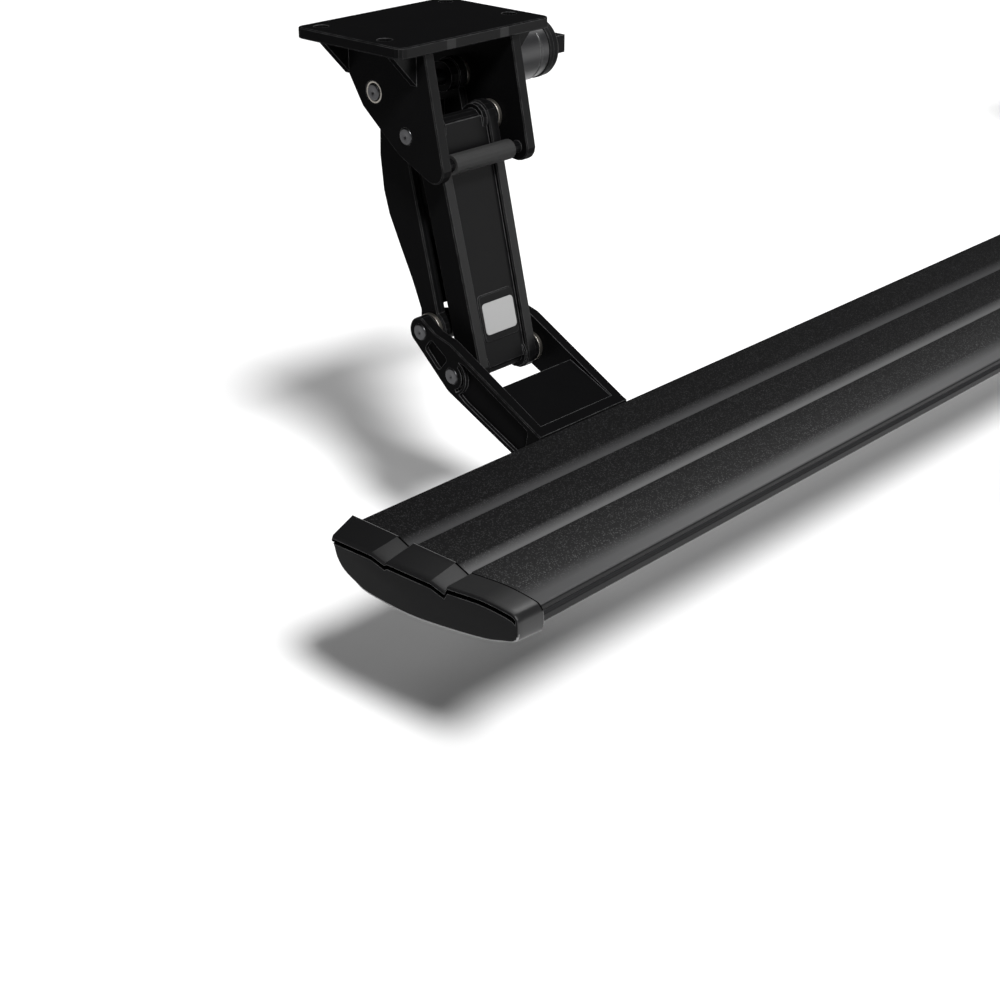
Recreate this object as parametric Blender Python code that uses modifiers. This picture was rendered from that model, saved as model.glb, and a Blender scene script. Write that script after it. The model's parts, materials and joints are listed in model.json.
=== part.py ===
# Power running board for one side of a vehicle, modelled in the lowered position.
# Metres. +X runs along the board to its far end, +Y points in under the vehicle, +Z is up.
# The origin is the centre of the front linkage's mounting face.
# Two parallel-arm linkages carry the board. A gear motor drives the inner arm of the front one.

import math

import bmesh
import bpy
from mathutils import Matrix

# Gaps and facets
FIT = 0.0003             # gap between pieces that touch
WELD = 0.00001           # points closer than this are one point
ROUND_STEPS = 18         # facets round a pin
FINE_STEPS = 26          # facets round the motor
SCREW_STEPS = 12         # facets round a screw or its hole
CUT_PAST = 0.002         # how far a cutter runs past the face it opens
CORNER_STEPS = 3         # facets in a rounded corner
SMALL_CORNER = 0.0013    # a corner rounder than this gets all of them, a tighter one a single facet
MIN_FACET = 0.0006       # narrowest facet along the board

# Linkage layout, seen along X
ARM_LENGTH = 0.175       # between the two pivots of an arm
LEAN = math.radians(14)  # lean of the arms from the vertical when the board is down
INNER_PIVOT_Y = 0.007    # upper pivot of the inner arm, from the mounting face centre
INNER_PIVOT_DROP = 0.043
PIVOT_STEP_Y = 0.032     # outer pivot lies this far outboard of the inner one, above and below
PIVOT_STEP_Z = 0.026     # and this far under it
BOARD_EDGE_OUT = 0.0878  # from the lower outer pivot out to the board's inboard edge
BOARD_TOP_DROP = 0.0229  # and down to its top
LINKAGE_FROM_END = 0.222
BOARD_LENGTH = 1.900

# Forks, pins and bushes
FORK_GAP = 0.078         # clear width between the cheeks, the same above and below
CHEEK = 0.009            # cheek thickness
BARREL_WIDTH = 0.070     # width of each arm over its pivot barrels
BARREL_R = 0.0115
BARREL_SHOULDER = 0.002  # behind each bush
ARM_END_R = 0.0130       # rounding of an arm's side plates round a pivot
PIN_R = 0.006
PIN_STANDS_OUT = 0.0008  # each pin end beyond the cheek
PIN_CHAMFER = 0.0008
BUSH_WALL = 0.0017
BUSH_LENGTH = 0.014      # sleeve inside an arm's barrel
BUSH_FLANGE_R = 0.0115
BORE_STEPS = 14          # facets round a bore or a bush
ARM_SOLVER = "MANIFOLD"  # the exact one leaves open edges where barrels meet the sides

# Running board section
TREAD_WIDTH = 0.038      # the two inboard treads
BAND_WIDTH = 0.0127      # sloping band between two treads
BAND_DROP = 0.0045
BOARD_WIDTH = 0.158
TREAD_CROWN = 0.0008     # rise of the outer tread
NOSE_R = 0.007
NOSE_GROOVE_TOP = 0.0058
NOSE_GROOVE = 0.0028     # groove under the nose, height and depth
LIP_BOTTOM = 0.0142
BELLY = 0.030            # depth of the flat underside
EDGE_HEIGHT = 0.0085     # upright inboard edge
WALL = 0.003
SLOT_FROM_EDGE = 0.046   # centre of the inboard slot
SLOT_SPACING = 0.042
SLOT_MOUTH = 0.009
SLOT_LIP = 0.003
CHANNEL_WIDTH = 0.020
CHANNEL_HEIGHT = 0.009

# End caps
CAP_LENGTH = 0.026
CAP_PROUD = 0.0025       # rim above the two inboard treads
CAP_OVERHANG = 0.006     # beyond the board's inboard edge
CAP_OUTBOARD = 0.0030    # beyond its outboard edge
CAP_SWEEP = 0.005        # the end face leans back by this at its outboard edge
CAP_EDGE = 0.0014        # rounding of the end face
CAP_LINE_DEPTH = 0.0022  # shadow line under the top edge of the end face
CAP_LINE_HEIGHT = 0.0016
TONGUE_LENGTH = 0.022

# Step brackets
TIP_R = 0.011            # round the lower inner pivot
FLOOR_START = 0.049      # inboard end of the floor, from the board's edge
FLOOR_T = 0.006
RIM_HEIGHT = 0.0045      # cheek rims above the floor at its inboard end
FOOT_T = 0.0082
FOOT_BEYOND_SLOT = 0.016
FRONT_WALL = 0.010
RIB_T = 0.005
POCKET_DEPTH = 0.003
POCKET_RIM = 0.0048
PIN_BOSS_R = 0.0095

# Bolts in the board's slots
BOLT_R = 0.004
BOLT_HOLE_R = 0.0045
BOLT_SPACING = 0.060     # along the board
BOLT_HEAD_R = 0.0075
BOLT_HEAD_H = 0.005
STRIP_WIDTH = 0.016
STRIP_PAST_BOLT = 0.014
STRIP_T = 0.006

# Arms
OUTER_ARM_WIDTH = 0.061  # at the lower end
OUTER_ARM_TAPER = 0.004  # wider than that at the upper end
FLANGE_WIDTH = 0.0095
ARM_BACK = 0.0095        # behind the pivot line, between the two pivots
PANEL_RECESS = 0.0035
PANEL_T = 0.005
PANEL_PAST_PIVOT = 0.002
ARM_RIB_T = 0.004
PAD_WIDTH = 0.036
PAD_HEIGHT = 0.035
PAD_RISE = 0.0016
PAD_FROM_PIVOT = 0.034   # centre of the pad above the lower pivot
INNER_ARM_SIDE = 0.008
INNER_ARM_FRONT = 0.008
INNER_ARM_BELLY = 0.025
INNER_ARM_BACK_WALL = 0.005

# Mount brackets
PLATE_T = 0.008
PLATE_WIDTH = 0.150
PLATE_OUTBOARD = 0.050   # from the origin to the plate's edges
PLATE_INBOARD = 0.057
PLATE_HOLE_R = 0.0055
PLATE_HOLE_EDGE = 0.013
LOBE_R = 0.017
STOP_R = 0.0045          # cast cross bar that carries the rubber stop
STOP_RUBBER = 0.0025
STOP_BELOW_PIVOT = 0.025
STOP_LENGTH = 0.060      # reaches in front of both flanges of the outer arm
GUSSET_T = 0.006
GUSSET_HEIGHT = 0.026

# Gears and motor
GEAR_MODULE = 0.002
SECTOR_TEETH = 30        # on the full circle
PINION_TEETH = 12
PRESSURE_ANGLE = math.radians(20)
BACKLASH = 0.0003
GEAR_WIDTH = 0.008
MESH_ANGLE = math.radians(-10)    # from the drive shaft towards the pinion
SWING = math.radians(84)          # travel of the arms
SECTOR_MARGIN = math.radians(18)
HUB_R = 0.0115
PINION_SHAFT_R = 0.005
EAR_RADIUS = 0.033       # from the motor axis to the three screws
EAR_ANGLES = (65, 350, 265)
EAR_R = 0.008
EAR_T = 0.008
MOTOR_SCREW_R = 0.003
MOTOR_SCREW_HEAD_R = 0.005
MOTOR_SCREW_HEAD_H = 0.004
GEARBOX_R = 0.027
GEARBOX_LENGTH = 0.030
CAN_R = 0.024
CAN_LENGTH = 0.070
COVER_LENGTH = 0.012
SOCKET_WIDTH = 0.020
SOCKET_HEIGHT = 0.014
SOCKET_LENGTH = 0.020
SOCKET_WALL = 0.002
SOCKET_DEPTH = 0.014

# Places that follow from the sizes
HALF_FORK = FORK_GAP / 2
HALF_OUT = HALF_FORK + CHEEK
HALF_BARREL = BARREL_WIDTH / 2
BORE_R = PIN_R + FIT
SLEEVE_BORE_R = BORE_R + BUSH_WALL + FIT
ARM_Y = math.sin(LEAN) * ARM_LENGTH
ARM_Z = math.cos(LEAN) * ARM_LENGTH
UPPER_INNER = (INNER_PIVOT_Y, -INNER_PIVOT_DROP)
UPPER_OUTER = (UPPER_INNER[0] - PIVOT_STEP_Y, UPPER_INNER[1] - PIVOT_STEP_Z)
LOWER_INNER = (UPPER_INNER[0] - ARM_Y, UPPER_INNER[1] - ARM_Z)
LOWER_OUTER = (UPPER_OUTER[0] - ARM_Y, UPPER_OUTER[1] - ARM_Z)
BOARD_DATUM = (LOWER_OUTER[0] - BOARD_EDGE_OUT, LOWER_OUTER[1] - BOARD_TOP_DROP)
BRACKET_OUTER = (BOARD_EDGE_OUT, BOARD_TOP_DROP)
BRACKET_INNER = (BOARD_EDGE_OUT + PIVOT_STEP_Y, BOARD_TOP_DROP + PIVOT_STEP_Z)
BOARD_START = -LINKAGE_FROM_END
REAR_LINKAGE_X = BOARD_START + BOARD_LENGTH - LINKAGE_FROM_END
SLOT_CENTRES = (-SLOT_FROM_EDGE, -SLOT_FROM_EDGE - SLOT_SPACING)
GEAR_START = HALF_OUT + 2 * FIT
GEARBOX_START = GEAR_START + GEAR_WIDTH + 0.002
SECTOR_PITCH_R = GEAR_MODULE * SECTOR_TEETH / 2
PINION_PITCH_R = GEAR_MODULE * PINION_TEETH / 2
MESH_REACH = SECTOR_PITCH_R + PINION_PITCH_R
PINION_AXIS = (UPPER_INNER[0] + MESH_REACH * math.cos(MESH_ANGLE),
               UPPER_INNER[1] + MESH_REACH * math.sin(MESH_ANGLE))


# Scene and objects

def clear_scene():
    for obj in list(bpy.data.objects):
        bpy.data.objects.remove(obj, do_unlink=True)
    for mesh in list(bpy.data.meshes):
        bpy.data.meshes.remove(mesh)


def new_collection(name):
    collection = bpy.data.collections.new(name)
    bpy.context.scene.collection.children.link(collection)
    return collection


def new_material(name, colour, roughness, metallic):
    material = bpy.data.materials.new(name)
    material.use_nodes = True
    shader = material.node_tree.nodes["Principled BSDF"]
    shader.inputs["Base Color"].default_value = (*colour, 1.0)
    shader.inputs["Roughness"].default_value = roughness
    shader.inputs["Metallic"].default_value = metallic
    material.diffuse_color = (*colour, 1.0)
    return material


def axis_empty(name, x, point):
    empty = bpy.data.objects.new(name, None)
    empty.empty_display_size = 0.02
    empty.location = (x, point[0], point[1])
    parts.objects.link(empty)
    return empty


def add_part(name, mesh, material, place=None, carrier=None):
    """Adds a mesh as a named piece at a place, and hangs it on its body's axis."""
    obj = bpy.data.objects.new(name, mesh)
    parts.objects.link(obj)
    if not mesh.materials:
        mesh.materials.append(material)
    obj.matrix_world = place or Matrix.Identity(4)
    if carrier:
        bpy.context.view_layer.update()
        obj.parent = carrier
        obj.matrix_parent_inverse = carrier.matrix_world.inverted()
    return obj


def add_cutter(name, mesh, place=None):
    obj = bpy.data.objects.new(name, mesh)
    cutters.objects.link(obj)
    obj.matrix_world = place or Matrix.Identity(4)
    obj.hide_render = True
    obj.display_type = "WIRE"
    return obj


def boolean(target, operation, name, mesh, place=None, solver="EXACT"):
    """Joins a tool mesh to a piece, or cuts it out, and keeps both editable."""
    tool = add_cutter(name, mesh, place)
    modifier = target.modifiers.new(name, "BOOLEAN")
    modifier.operation = operation
    modifier.solver = solver
    modifier.object = tool
    return tool


def evaluated_mesh(obj):
    bpy.context.view_layer.update()
    graph = bpy.context.evaluated_depsgraph_get()
    return bpy.data.meshes.new_from_object(obj.evaluated_get(graph))


def tidy_mesh(mesh):
    """Welds the points and turns every face outwards."""
    bm = bmesh.new()
    bm.from_mesh(mesh)
    bmesh.ops.remove_doubles(bm, verts=bm.verts, dist=WELD)
    bmesh.ops.recalc_face_normals(bm, faces=bm.faces)
    bm.to_mesh(mesh)
    bm.free()
    return mesh


def smooth(mesh, degrees=32):
    mesh.shade_smooth()
    mesh.set_sharp_from_angle(angle=math.radians(degrees))
    return mesh


def at(x, point):
    return Matrix.Translation((x, point[0], point[1]))


# Outlines, as (y, z) points

def arc(centre, radius, start, end, steps):
    """Points on an arc, with angles in degrees from +Y towards +Z."""
    points = []
    for index in range(steps + 1):
        angle = math.radians(start + (end - start) * index / steps)
        points.append((centre[0] + radius * math.cos(angle), centre[1] + radius * math.sin(angle)))
    return points


def rounded(corners):
    """An outline from (y, z, radius) corners. A radius of zero leaves the corner sharp."""
    points = []
    count = len(corners)
    for index, (y, z, radius) in enumerate(corners):
        if radius == 0:
            points.append((y, z))
            continue
        before = corners[index - 1]
        after = corners[(index + 1) % count]
        to_before = (before[0] - y, before[1] - z)
        to_after = (after[0] - y, after[1] - z)
        len_before = math.hypot(*to_before)
        len_after = math.hypot(*to_after)
        cosine = (to_before[0] * to_after[0] + to_before[1] * to_after[1]) / (len_before * len_after)
        half = math.acos(max(-1.0, min(1.0, cosine))) / 2
        reach = min(radius / math.tan(half), 0.48 * len_before, 0.48 * len_after)
        first = (y + to_before[0] / len_before * reach, z + to_before[1] / len_before * reach)
        last = (y + to_after[0] / len_after * reach, z + to_after[1] / len_after * reach)
        steps = CORNER_STEPS if radius > SMALL_CORNER else 1
        for step in range(steps + 1):
            t = step / steps
            a = (1 - t) * (1 - t)
            b = 2 * t * (1 - t)
            c = t * t
            points.append((a * first[0] + b * y + c * last[0], a * first[1] + b * z + c * last[1]))
    return points


def thinned(points, closest=MIN_FACET):
    """An outline without the points that lie too close to the one before."""
    kept = [points[0]]
    for point in points[1:]:
        if math.dist(point, kept[-1]) >= closest:
            kept.append(point)
    while math.dist(kept[-1], kept[0]) < closest:
        kept.pop()
    return kept


def hull(circles, steps=16):
    """The outline of a belt drawn tight round (y, z, radius) circles."""
    points = []
    for y, z, radius in circles:
        points += arc((y, z), radius, 0, 360 * (steps - 1) / steps, steps - 1)
    points = sorted(set(points))

    def half(sequence):
        chain = []
        for point in sequence:
            while len(chain) > 1 and turn(chain[-2], chain[-1], point) <= 0:
                chain.pop()
            chain.append(point)
        return chain[:-1]

    return half(points) + half(points[::-1])


def turn(a, b, c):
    return (b[0] - a[0]) * (c[1] - a[1]) - (b[1] - a[1]) * (c[0] - a[0])


def circle(centre, radius, steps=BORE_STEPS):
    return arc(centre, radius, 0, 360 * (steps - 1) / steps, steps - 1)


# Meshes

def prism(outline, x_start, x_end, holes=(), chamfer=0.0):
    """A flat outline in the YZ plane, thickened along X, with its rims chamfered."""
    curve = bpy.data.curves.new("outline", "CURVE")
    curve.dimensions = "2D"
    curve.fill_mode = "BOTH"
    for points in (outline, *holes):
        spline = curve.splines.new("POLY")
        spline.points.add(len(points) - 1)
        for target, (y, z) in zip(spline.points, points):
            target.co = (y, z, 0, 1)
        spline.use_cyclic_u = True
    curve.extrude = (x_end - x_start) / 2 - chamfer
    curve.bevel_depth = chamfer
    curve.bevel_resolution = 0
    curve.offset = -chamfer
    guide = bpy.data.objects.new("outline", curve)
    cutters.objects.link(guide)
    mesh = evaluated_mesh(guide)
    bpy.data.objects.remove(guide)
    bpy.data.curves.remove(curve)
    to_section = Matrix(((0, 0, 1, (x_start + x_end) / 2), (1, 0, 0, 0), (0, 1, 0, 0), (0, 0, 0, 1)))
    mesh.transform(to_section)
    return tidy_mesh(mesh)


def block(low, high):
    bm = bmesh.new()
    size = [high[axis] - low[axis] for axis in range(3)]
    middle = [(high[axis] + low[axis]) / 2 for axis in range(3)]
    matrix = Matrix.Translation(middle) @ Matrix.Diagonal((*size, 1))
    bmesh.ops.create_cube(bm, size=1, matrix=matrix)
    mesh = bpy.data.meshes.new("block")
    bm.to_mesh(mesh)
    bm.free()
    return mesh


def turned(profile, steps=ROUND_STEPS, closed=False):
    """A profile of (radius, x) points turned about the X axis."""
    mesh = bpy.data.meshes.new("profile")
    vertices = [(radius, 0, x) for radius, x in profile]
    edges = [(i, i + 1) for i in range(len(vertices) - 1)]
    if closed:
        edges.append((len(vertices) - 1, 0))
    mesh.from_pydata(vertices, edges, [])
    guide = bpy.data.objects.new("profile", mesh)
    cutters.objects.link(guide)
    screw = guide.modifiers.new("turn", "SCREW")
    screw.steps = steps
    screw.render_steps = steps
    screw.use_merge_vertices = True
    screw.merge_threshold = WELD
    result = evaluated_mesh(guide)
    bpy.data.objects.remove(guide)
    result.transform(Matrix(((0, 0, 1, 0), (1, 0, 0, 0), (0, 1, 0, 0), (0, 0, 0, 1))))
    return smooth(tidy_mesh(result))


def rod(radius, x_start, x_end, steps=BORE_STEPS, chamfer=0.0):
    """A round bar along X."""
    profile = [(0, x_start), (radius - chamfer, x_start)]
    if chamfer:
        profile += [(radius, x_start + chamfer), (radius, x_end - chamfer)]
    profile += [(radius - chamfer, x_end), (0, x_end)]
    if not chamfer:
        profile = [(0, x_start), (radius, x_start), (radius, x_end), (0, x_end)]
    return turned(profile, steps)


def upright_rod(radius, z_start, z_end, steps=BORE_STEPS):
    """A round bar along Z."""
    bm = bmesh.new()
    middle = Matrix.Translation((0, 0, (z_start + z_end) / 2))
    bmesh.ops.create_cone(bm, cap_ends=True, segments=steps, radius1=radius, radius2=radius,
                          depth=z_end - z_start, matrix=middle)
    mesh = bpy.data.meshes.new("upright")
    bm.to_mesh(mesh)
    bm.free()
    return mesh


def slanted(mesh, lower_z, upper_z, growth):
    """Widens a mesh about the X centre plane between two heights."""
    for vertex in mesh.vertices:
        share = (vertex.co.z - lower_z) / (upper_z - lower_z)
        vertex.co.x += math.copysign(growth / 2 * share, vertex.co.x)
    return mesh


# Running board

def tread_line():
    """The top of the board from its inboard edge to the start of the outer tread."""
    points = []
    y = 0.0
    for _ in range(2):
        points.append((y, 0.0))
        points.append((y - TREAD_WIDTH, 0.0))
        points.append((y - TREAD_WIDTH - BAND_WIDTH, -BAND_DROP))
        y -= TREAD_WIDTH + BAND_WIDTH
    points.append((y, 0.0))
    return points


def height_on(line, y):
    """The lowest height of a line of (y, z) points at a place across the board."""
    found = []
    for (y_a, z_a), (y_b, z_b) in zip(line, line[1:]):
        low, high = sorted((y_a, y_b))
        if low <= y <= high and high > low:
            found.append(z_a + (z_b - z_a) * (y - y_a) / (y_b - y_a))
    return min(found)


def belly_line():
    """The underside from the inboard edge to the outboard lip, without the slots."""
    flat_start = -SLOT_FROM_EDGE + CHANNEL_WIDTH / 2 + WALL
    flat_end = SLOT_CENTRES[1] - CHANNEL_WIDTH / 2 - WALL
    return [(0.0, -EDGE_HEIGHT), (-0.009, -EDGE_HEIGHT - 0.0085), (flat_start, -BELLY),
            (flat_end, -BELLY), (-BOARD_WIDTH + 0.030, -BELLY + 0.0055),
            (-BOARD_WIDTH + 0.0015, -LIP_BOTTOM)]


def board_outline():
    top = tread_line()
    tread_start = top[-1][0]
    edge = -BOARD_WIDTH
    corners = [(0.0, 0.0, 0.0015)]
    for y, z in top[1:]:
        corners.append((y, z, 0.0))
    corners[3] = (*corners[3][:2], 0.0008)
    corners += [
        ((tread_start + edge) / 2, TREAD_CROWN, 0.020),
        (edge + 0.016, -0.0004, 0.012),
        (edge + 0.0006, -0.0022, NOSE_R),
        (edge + 0.0006, -NOSE_GROOVE_TOP, 0.0006),
        (edge + NOSE_GROOVE, -NOSE_GROOVE_TOP, 0.0),
        (edge + NOSE_GROOVE, -NOSE_GROOVE_TOP - NOSE_GROOVE * 0.8, 0.0),
        (edge, -NOSE_GROOVE_TOP - NOSE_GROOVE, 0.0008),
        (edge, -LIP_BOTTOM + 0.0005, 0.0012),
    ]
    underside = belly_line()
    below = underside[:2:-1]
    for centre in reversed(SLOT_CENTRES):
        below += slot_notch(centre)
    below += underside[2::-1]
    corners += [(y, z, 0.0) for y, z in below]
    return rounded(corners)


def slot_notch(centre):
    """One T slot in the underside, from its outboard side to its inboard side."""
    mouth = SLOT_MOUTH / 2
    half = CHANNEL_WIDTH / 2
    lip_top = -BELLY + SLOT_LIP
    roof = lip_top + CHANNEL_HEIGHT
    return [(centre - mouth, -BELLY), (centre - mouth, lip_top), (centre - half, lip_top),
            (centre - half, roof), (centre + half, roof), (centre + half, lip_top),
            (centre + mouth, lip_top), (centre + mouth, -BELLY)]


def ceiling(inboard, outboard):
    """The roof of a chamber, one wall under the treads and bands."""
    line = [(0.0, -WALL)]
    y = 0.0
    for _ in range(2):
        line.append((y - TREAD_WIDTH, -WALL))
        line.append((y - TREAD_WIDTH - BAND_WIDTH, -BAND_DROP - WALL))
        y -= TREAD_WIDTH + BAND_WIDTH
        line.append((y - WALL, -BAND_DROP - WALL))
        line.append((y - 1.5 * WALL, -WALL))
    line.append((-BOARD_WIDTH, -WALL))
    inside = [point for point in line if outboard < point[0] < inboard]
    return [(inboard, height_on(line, inboard)), *inside, (outboard, height_on(line, outboard))]


def chambers():
    """The five hollows of the extrusion. Two of them lie over the slots."""
    half = CHANNEL_WIDTH / 2
    underside = belly_line()
    channel_roof = -BELLY + SLOT_LIP + CHANNEL_HEIGHT + WALL
    walls = [-WALL]
    for centre in SLOT_CENTRES:
        walls += [centre + half + WALL, centre + half, centre - half, centre - half - WALL]
    walls.append(-BOARD_WIDTH + NOSE_GROOVE + WALL + 0.0015)
    hollows = []
    for index in range(0, len(walls), 2):
        inboard, outboard = walls[index], walls[index + 1]
        roof = ceiling(inboard, outboard)
        over_slot = index in (2, 6)
        if over_slot:
            floor = [(outboard, channel_roof), (inboard, channel_roof)]
        else:
            inside = [point for point in underside if outboard < point[0] < inboard]
            ends = [(inboard, height_on(underside, inboard)), *inside,
                    (outboard, height_on(underside, outboard))]
            floor = [(y, z + WALL) for y, z in reversed(ends)]
        hollows.append(roof + floor)
    return hollows


def build_board():
    end = BOARD_START + BOARD_LENGTH
    holes = [thinned(chamber) for chamber in chambers()]
    mesh = prism(thinned(board_outline()), BOARD_START, end, holes=holes)
    return add_part("running_board", smooth(mesh), black_extrusion, at(0, BOARD_DATUM), board_axis)


# End caps

def cap_section(front):
    """The cap's outline at the board, or at its slimmer outer end."""
    inset = 1.0 if front else 0.0
    first = CAP_PROUD - 0.003 * inset
    second = first - 0.0015 * inset
    crest = CAP_PROUD - 0.0008 * inset
    inboard = CAP_OVERHANG - 0.008 * inset
    groove = BAND_DROP - 0.0015 * inset
    deep = BELLY + 0.0040 - 0.0005 * inset
    tread_2 = TREAD_WIDTH + BAND_WIDTH
    tread_3 = 2 * tread_2
    out = BOARD_WIDTH + CAP_OUTBOARD - 0.002 * inset
    third = out - tread_3
    return [
        (inboard, first - 0.003),
        (inboard - 0.0012, first),
        (-TREAD_WIDTH, first),
        (-tread_2 + 0.0012, first - groove),
        (-tread_2 - 0.0010, second),
        (-tread_2 - TREAD_WIDTH, second),
        (-tread_3 + 0.0012, second - groove),
        (-tread_3 - 0.0012, crest - 0.0022),
        (-tread_3 - 0.45 * third, crest),
        (-out + 0.31 * third, crest - 0.0002),
        (-out + 0.10 * third, crest - 0.0014),
        (-out + 0.0020, crest - 0.0034),
        (-out, crest - 0.0070),
        (-out, -0.0140),
        (-out + 0.0025, -0.0182),
        (-0.930 * out, -0.0212),
        (-0.840 * out, -0.76 * deep),
        (-0.640 * out, -0.91 * deep),
        (-0.430 * out, -deep),
        (-0.215 * out, -0.93 * deep),
        (-0.140 * out, -0.80 * deep),
        (-0.077 * out, -0.64 * deep),
        (-0.042 * out, -0.43 * deep),
        (inboard - 0.0020, -0.18 * deep),
    ]


def swept(x, y):
    """A place along the cap, drawn back towards the board at the outboard side."""
    return x + CAP_SWEEP * (x / CAP_LENGTH) * (y / BOARD_WIDTH)


def cap_ring(front_share, x, inset):
    """One ring of the cap, between its two sections, drawn in by an inset."""
    rear = cap_section(False)
    front = cap_section(True)
    middle_y = -BOARD_WIDTH / 2
    middle_z = -BELLY / 2
    half_width = BOARD_WIDTH / 2
    half_height = BELLY / 2
    ring = []
    for (y_a, z_a), (y_b, z_b) in zip(rear, front):
        y = y_a + (y_b - y_a) * front_share
        z = z_a + (z_b - z_a) * front_share
        y = middle_y + (y - middle_y) * (1 - inset / half_width)
        z = middle_z + (z - middle_z) * (1 - inset / half_height)
        ring.append((swept(x, y), y, z))
    return ring


def cap_mesh():
    """The cap body, lofted from the board's end out to its end face."""
    rings = [
        cap_ring(0.0, -FIT, 0.0),
        cap_ring(0.45, -CAP_LENGTH * 0.45, 0.0),
        cap_ring(0.95, -CAP_LENGTH + CAP_EDGE, 0.0),
        cap_ring(1.0, -CAP_LENGTH + CAP_EDGE * 0.3, CAP_EDGE * 0.3),
        cap_ring(1.0, -CAP_LENGTH, CAP_EDGE),
    ]
    bm = bmesh.new()
    loops = [[bm.verts.new(point) for point in ring] for ring in rings]
    count = len(loops[0])
    for near, far in zip(loops, loops[1:]):
        for index in range(count):
            following = (index + 1) % count
            bm.faces.new((near[index], near[following], far[following], far[index]))
    bm.faces.new(loops[0])
    bm.faces.new(loops[-1])
    bmesh.ops.recalc_face_normals(bm, faces=bm.faces)
    mesh = bpy.data.meshes.new("end_cap")
    bm.to_mesh(mesh)
    bm.free()
    return mesh


def cap_line():
    """The shadow line that follows the top edge of the end face."""
    top = cap_section(True)[1:11]
    upper = [(y, z - CAP_EDGE - 0.0006) for y, z in top]
    lower = [(y, z - CAP_LINE_HEIGHT) for y, z in upper]
    return upper + lower[::-1]


def build_caps():
    place = at(BOARD_START, BOARD_DATUM)
    cap = add_part("end_cap_front", cap_mesh(), black_plastic, place, board_axis)
    line = prism(cap_line(), -CAP_LENGTH - CUT_PAST, -CAP_LENGTH + CAP_LINE_DEPTH)
    for vertex in line.vertices:
        vertex.co.x = swept(vertex.co.x, vertex.co.y)
    boolean(cap, "DIFFERENCE", "cap_line", line, place)
    hollows = chambers()
    for index in (0, 2, 4):
        outline = shrunk(hollows[index], 0.0008)
        tongue = prism(outline, -0.002, TONGUE_LENGTH)
        boolean(cap, "UNION", f"cap_tongue_{index}", tongue, place)
    mirrored = evaluated_mesh(cap)
    mirrored.transform(Matrix.Diagonal((-1, 1, 1, 1)))
    mirrored.flip_normals()
    far_end = at(BOARD_START + BOARD_LENGTH, BOARD_DATUM)
    add_part("end_cap_rear", mirrored, black_plastic, far_end, board_axis)


def shrunk(outline, gap):
    """A convex-enough outline drawn in by about a gap on every side."""
    low_y = min(y for y, _ in outline)
    high_y = max(y for y, _ in outline)
    low_z = min(z for _, z in outline)
    high_z = max(z for _, z in outline)
    middle = ((low_y + high_y) / 2, (low_z + high_z) / 2)
    scale_y = 1 - 2 * gap / (high_y - low_y)
    scale_z = 1 - 2 * gap / (high_z - low_z)
    return [(middle[0] + (y - middle[0]) * scale_y, middle[1] + (z - middle[1]) * scale_z)
            for y, z in outline]


# Step brackets

def rim_height(y):
    """Height of the cheeks' straight top rim, which runs from over the outer pivot to the board."""
    high = (BRACKET_OUTER[0] + 0.0018, BRACKET_OUTER[1] + 0.0245)
    low = (0.0034, 0.0020)
    return low[1] + (high[1] - low[1]) * (y - low[0]) / (high[0] - low[0])


def bracket_outline():
    """The whole bracket seen from its side: fork, floor, front wall and foot."""
    inner, outer = BRACKET_INNER, BRACKET_OUTER
    toe = SLOT_CENTRES[1] - FOOT_BEYOND_SLOT
    foot_top = -BELLY - FIT
    foot_bottom = foot_top - FOOT_T
    underside = belly_line()
    slope_start = underside[1]
    slope_end = underside[2]
    tip = arc(inner, TIP_R, -60, 98, 10)
    corners = [(y, z, 0.0) for y, z in tip]
    corners += [
        (outer[0] + 0.0165, outer[1] + 0.0282, 0.010),
        (outer[0] + 0.0018, outer[1] + 0.0245, 0.008),
        (0.0034, 0.0020, 0.002),
        (FIT, 0.0008, 0.0),
        (FIT, -EDGE_HEIGHT - FIT, 0.0),
        (slope_start[0] + FIT, slope_start[1] - FIT, 0.0),
        (slope_end[0], foot_top, 0.0),
        (toe, foot_top, 0.0),
        (toe, foot_bottom + 0.003, 0.0),
        (toe + 0.003, foot_bottom, 0.0),
        (-0.012, foot_bottom, 0.008),
        (0.0330, -0.0182, 0.015),
        (outer[0] + 0.0047, outer[1] - 0.0132, 0.012),
    ]
    return rounded(corners)


def fork_void():
    """The space between the cheeks, over the floor and through the fork."""
    floor_z = rim_height(FLOOR_START) - RIM_HEIGHT
    return [(FLOOR_START, -0.080), (FLOOR_START, floor_z), (0.008, rim_height(0.008) - 0.0010),
            (0.005, 0.050), (0.005, 0.100), (0.160, 0.100), (0.160, -0.080)]


def under_void():
    """The space under the floor, open below."""
    floor_z = rim_height(FLOOR_START) - RIM_HEIGHT - FLOOR_T
    near_z = rim_height(FRONT_WALL) - 0.0010 - FLOOR_T
    return [(FLOOR_START + 0.001, floor_z), (FRONT_WALL, near_z), (FRONT_WALL, -0.080),
            (FLOOR_START + 0.001, -0.080)]


def long_pocket():
    """The recess in a cheek's outer face, from the ring round the outer pin to the board."""
    outer = BRACKET_OUTER
    near = 0.012
    far = outer[0] - 0.008
    ring = arc(outer, PIN_BOSS_R + 0.005, 240, 118, 6)
    top_far = (far - 0.006, rim_height(far - 0.006) - POCKET_RIM)
    bottom_near = (near + 0.004, -0.0262 + POCKET_RIM)
    corners = [(y, z, 0.0) for y, z in ring]
    corners += [(*top_far, 0.0), (near, rim_height(near) - POCKET_RIM, 0.003),
                (*bottom_near, 0.003), (0.0335, -0.0182 + POCKET_RIM, 0.004),
                (outer[0] - 0.014, outer[1] - 0.0220 + POCKET_RIM, 0.0)]
    return rounded(corners)


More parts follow.
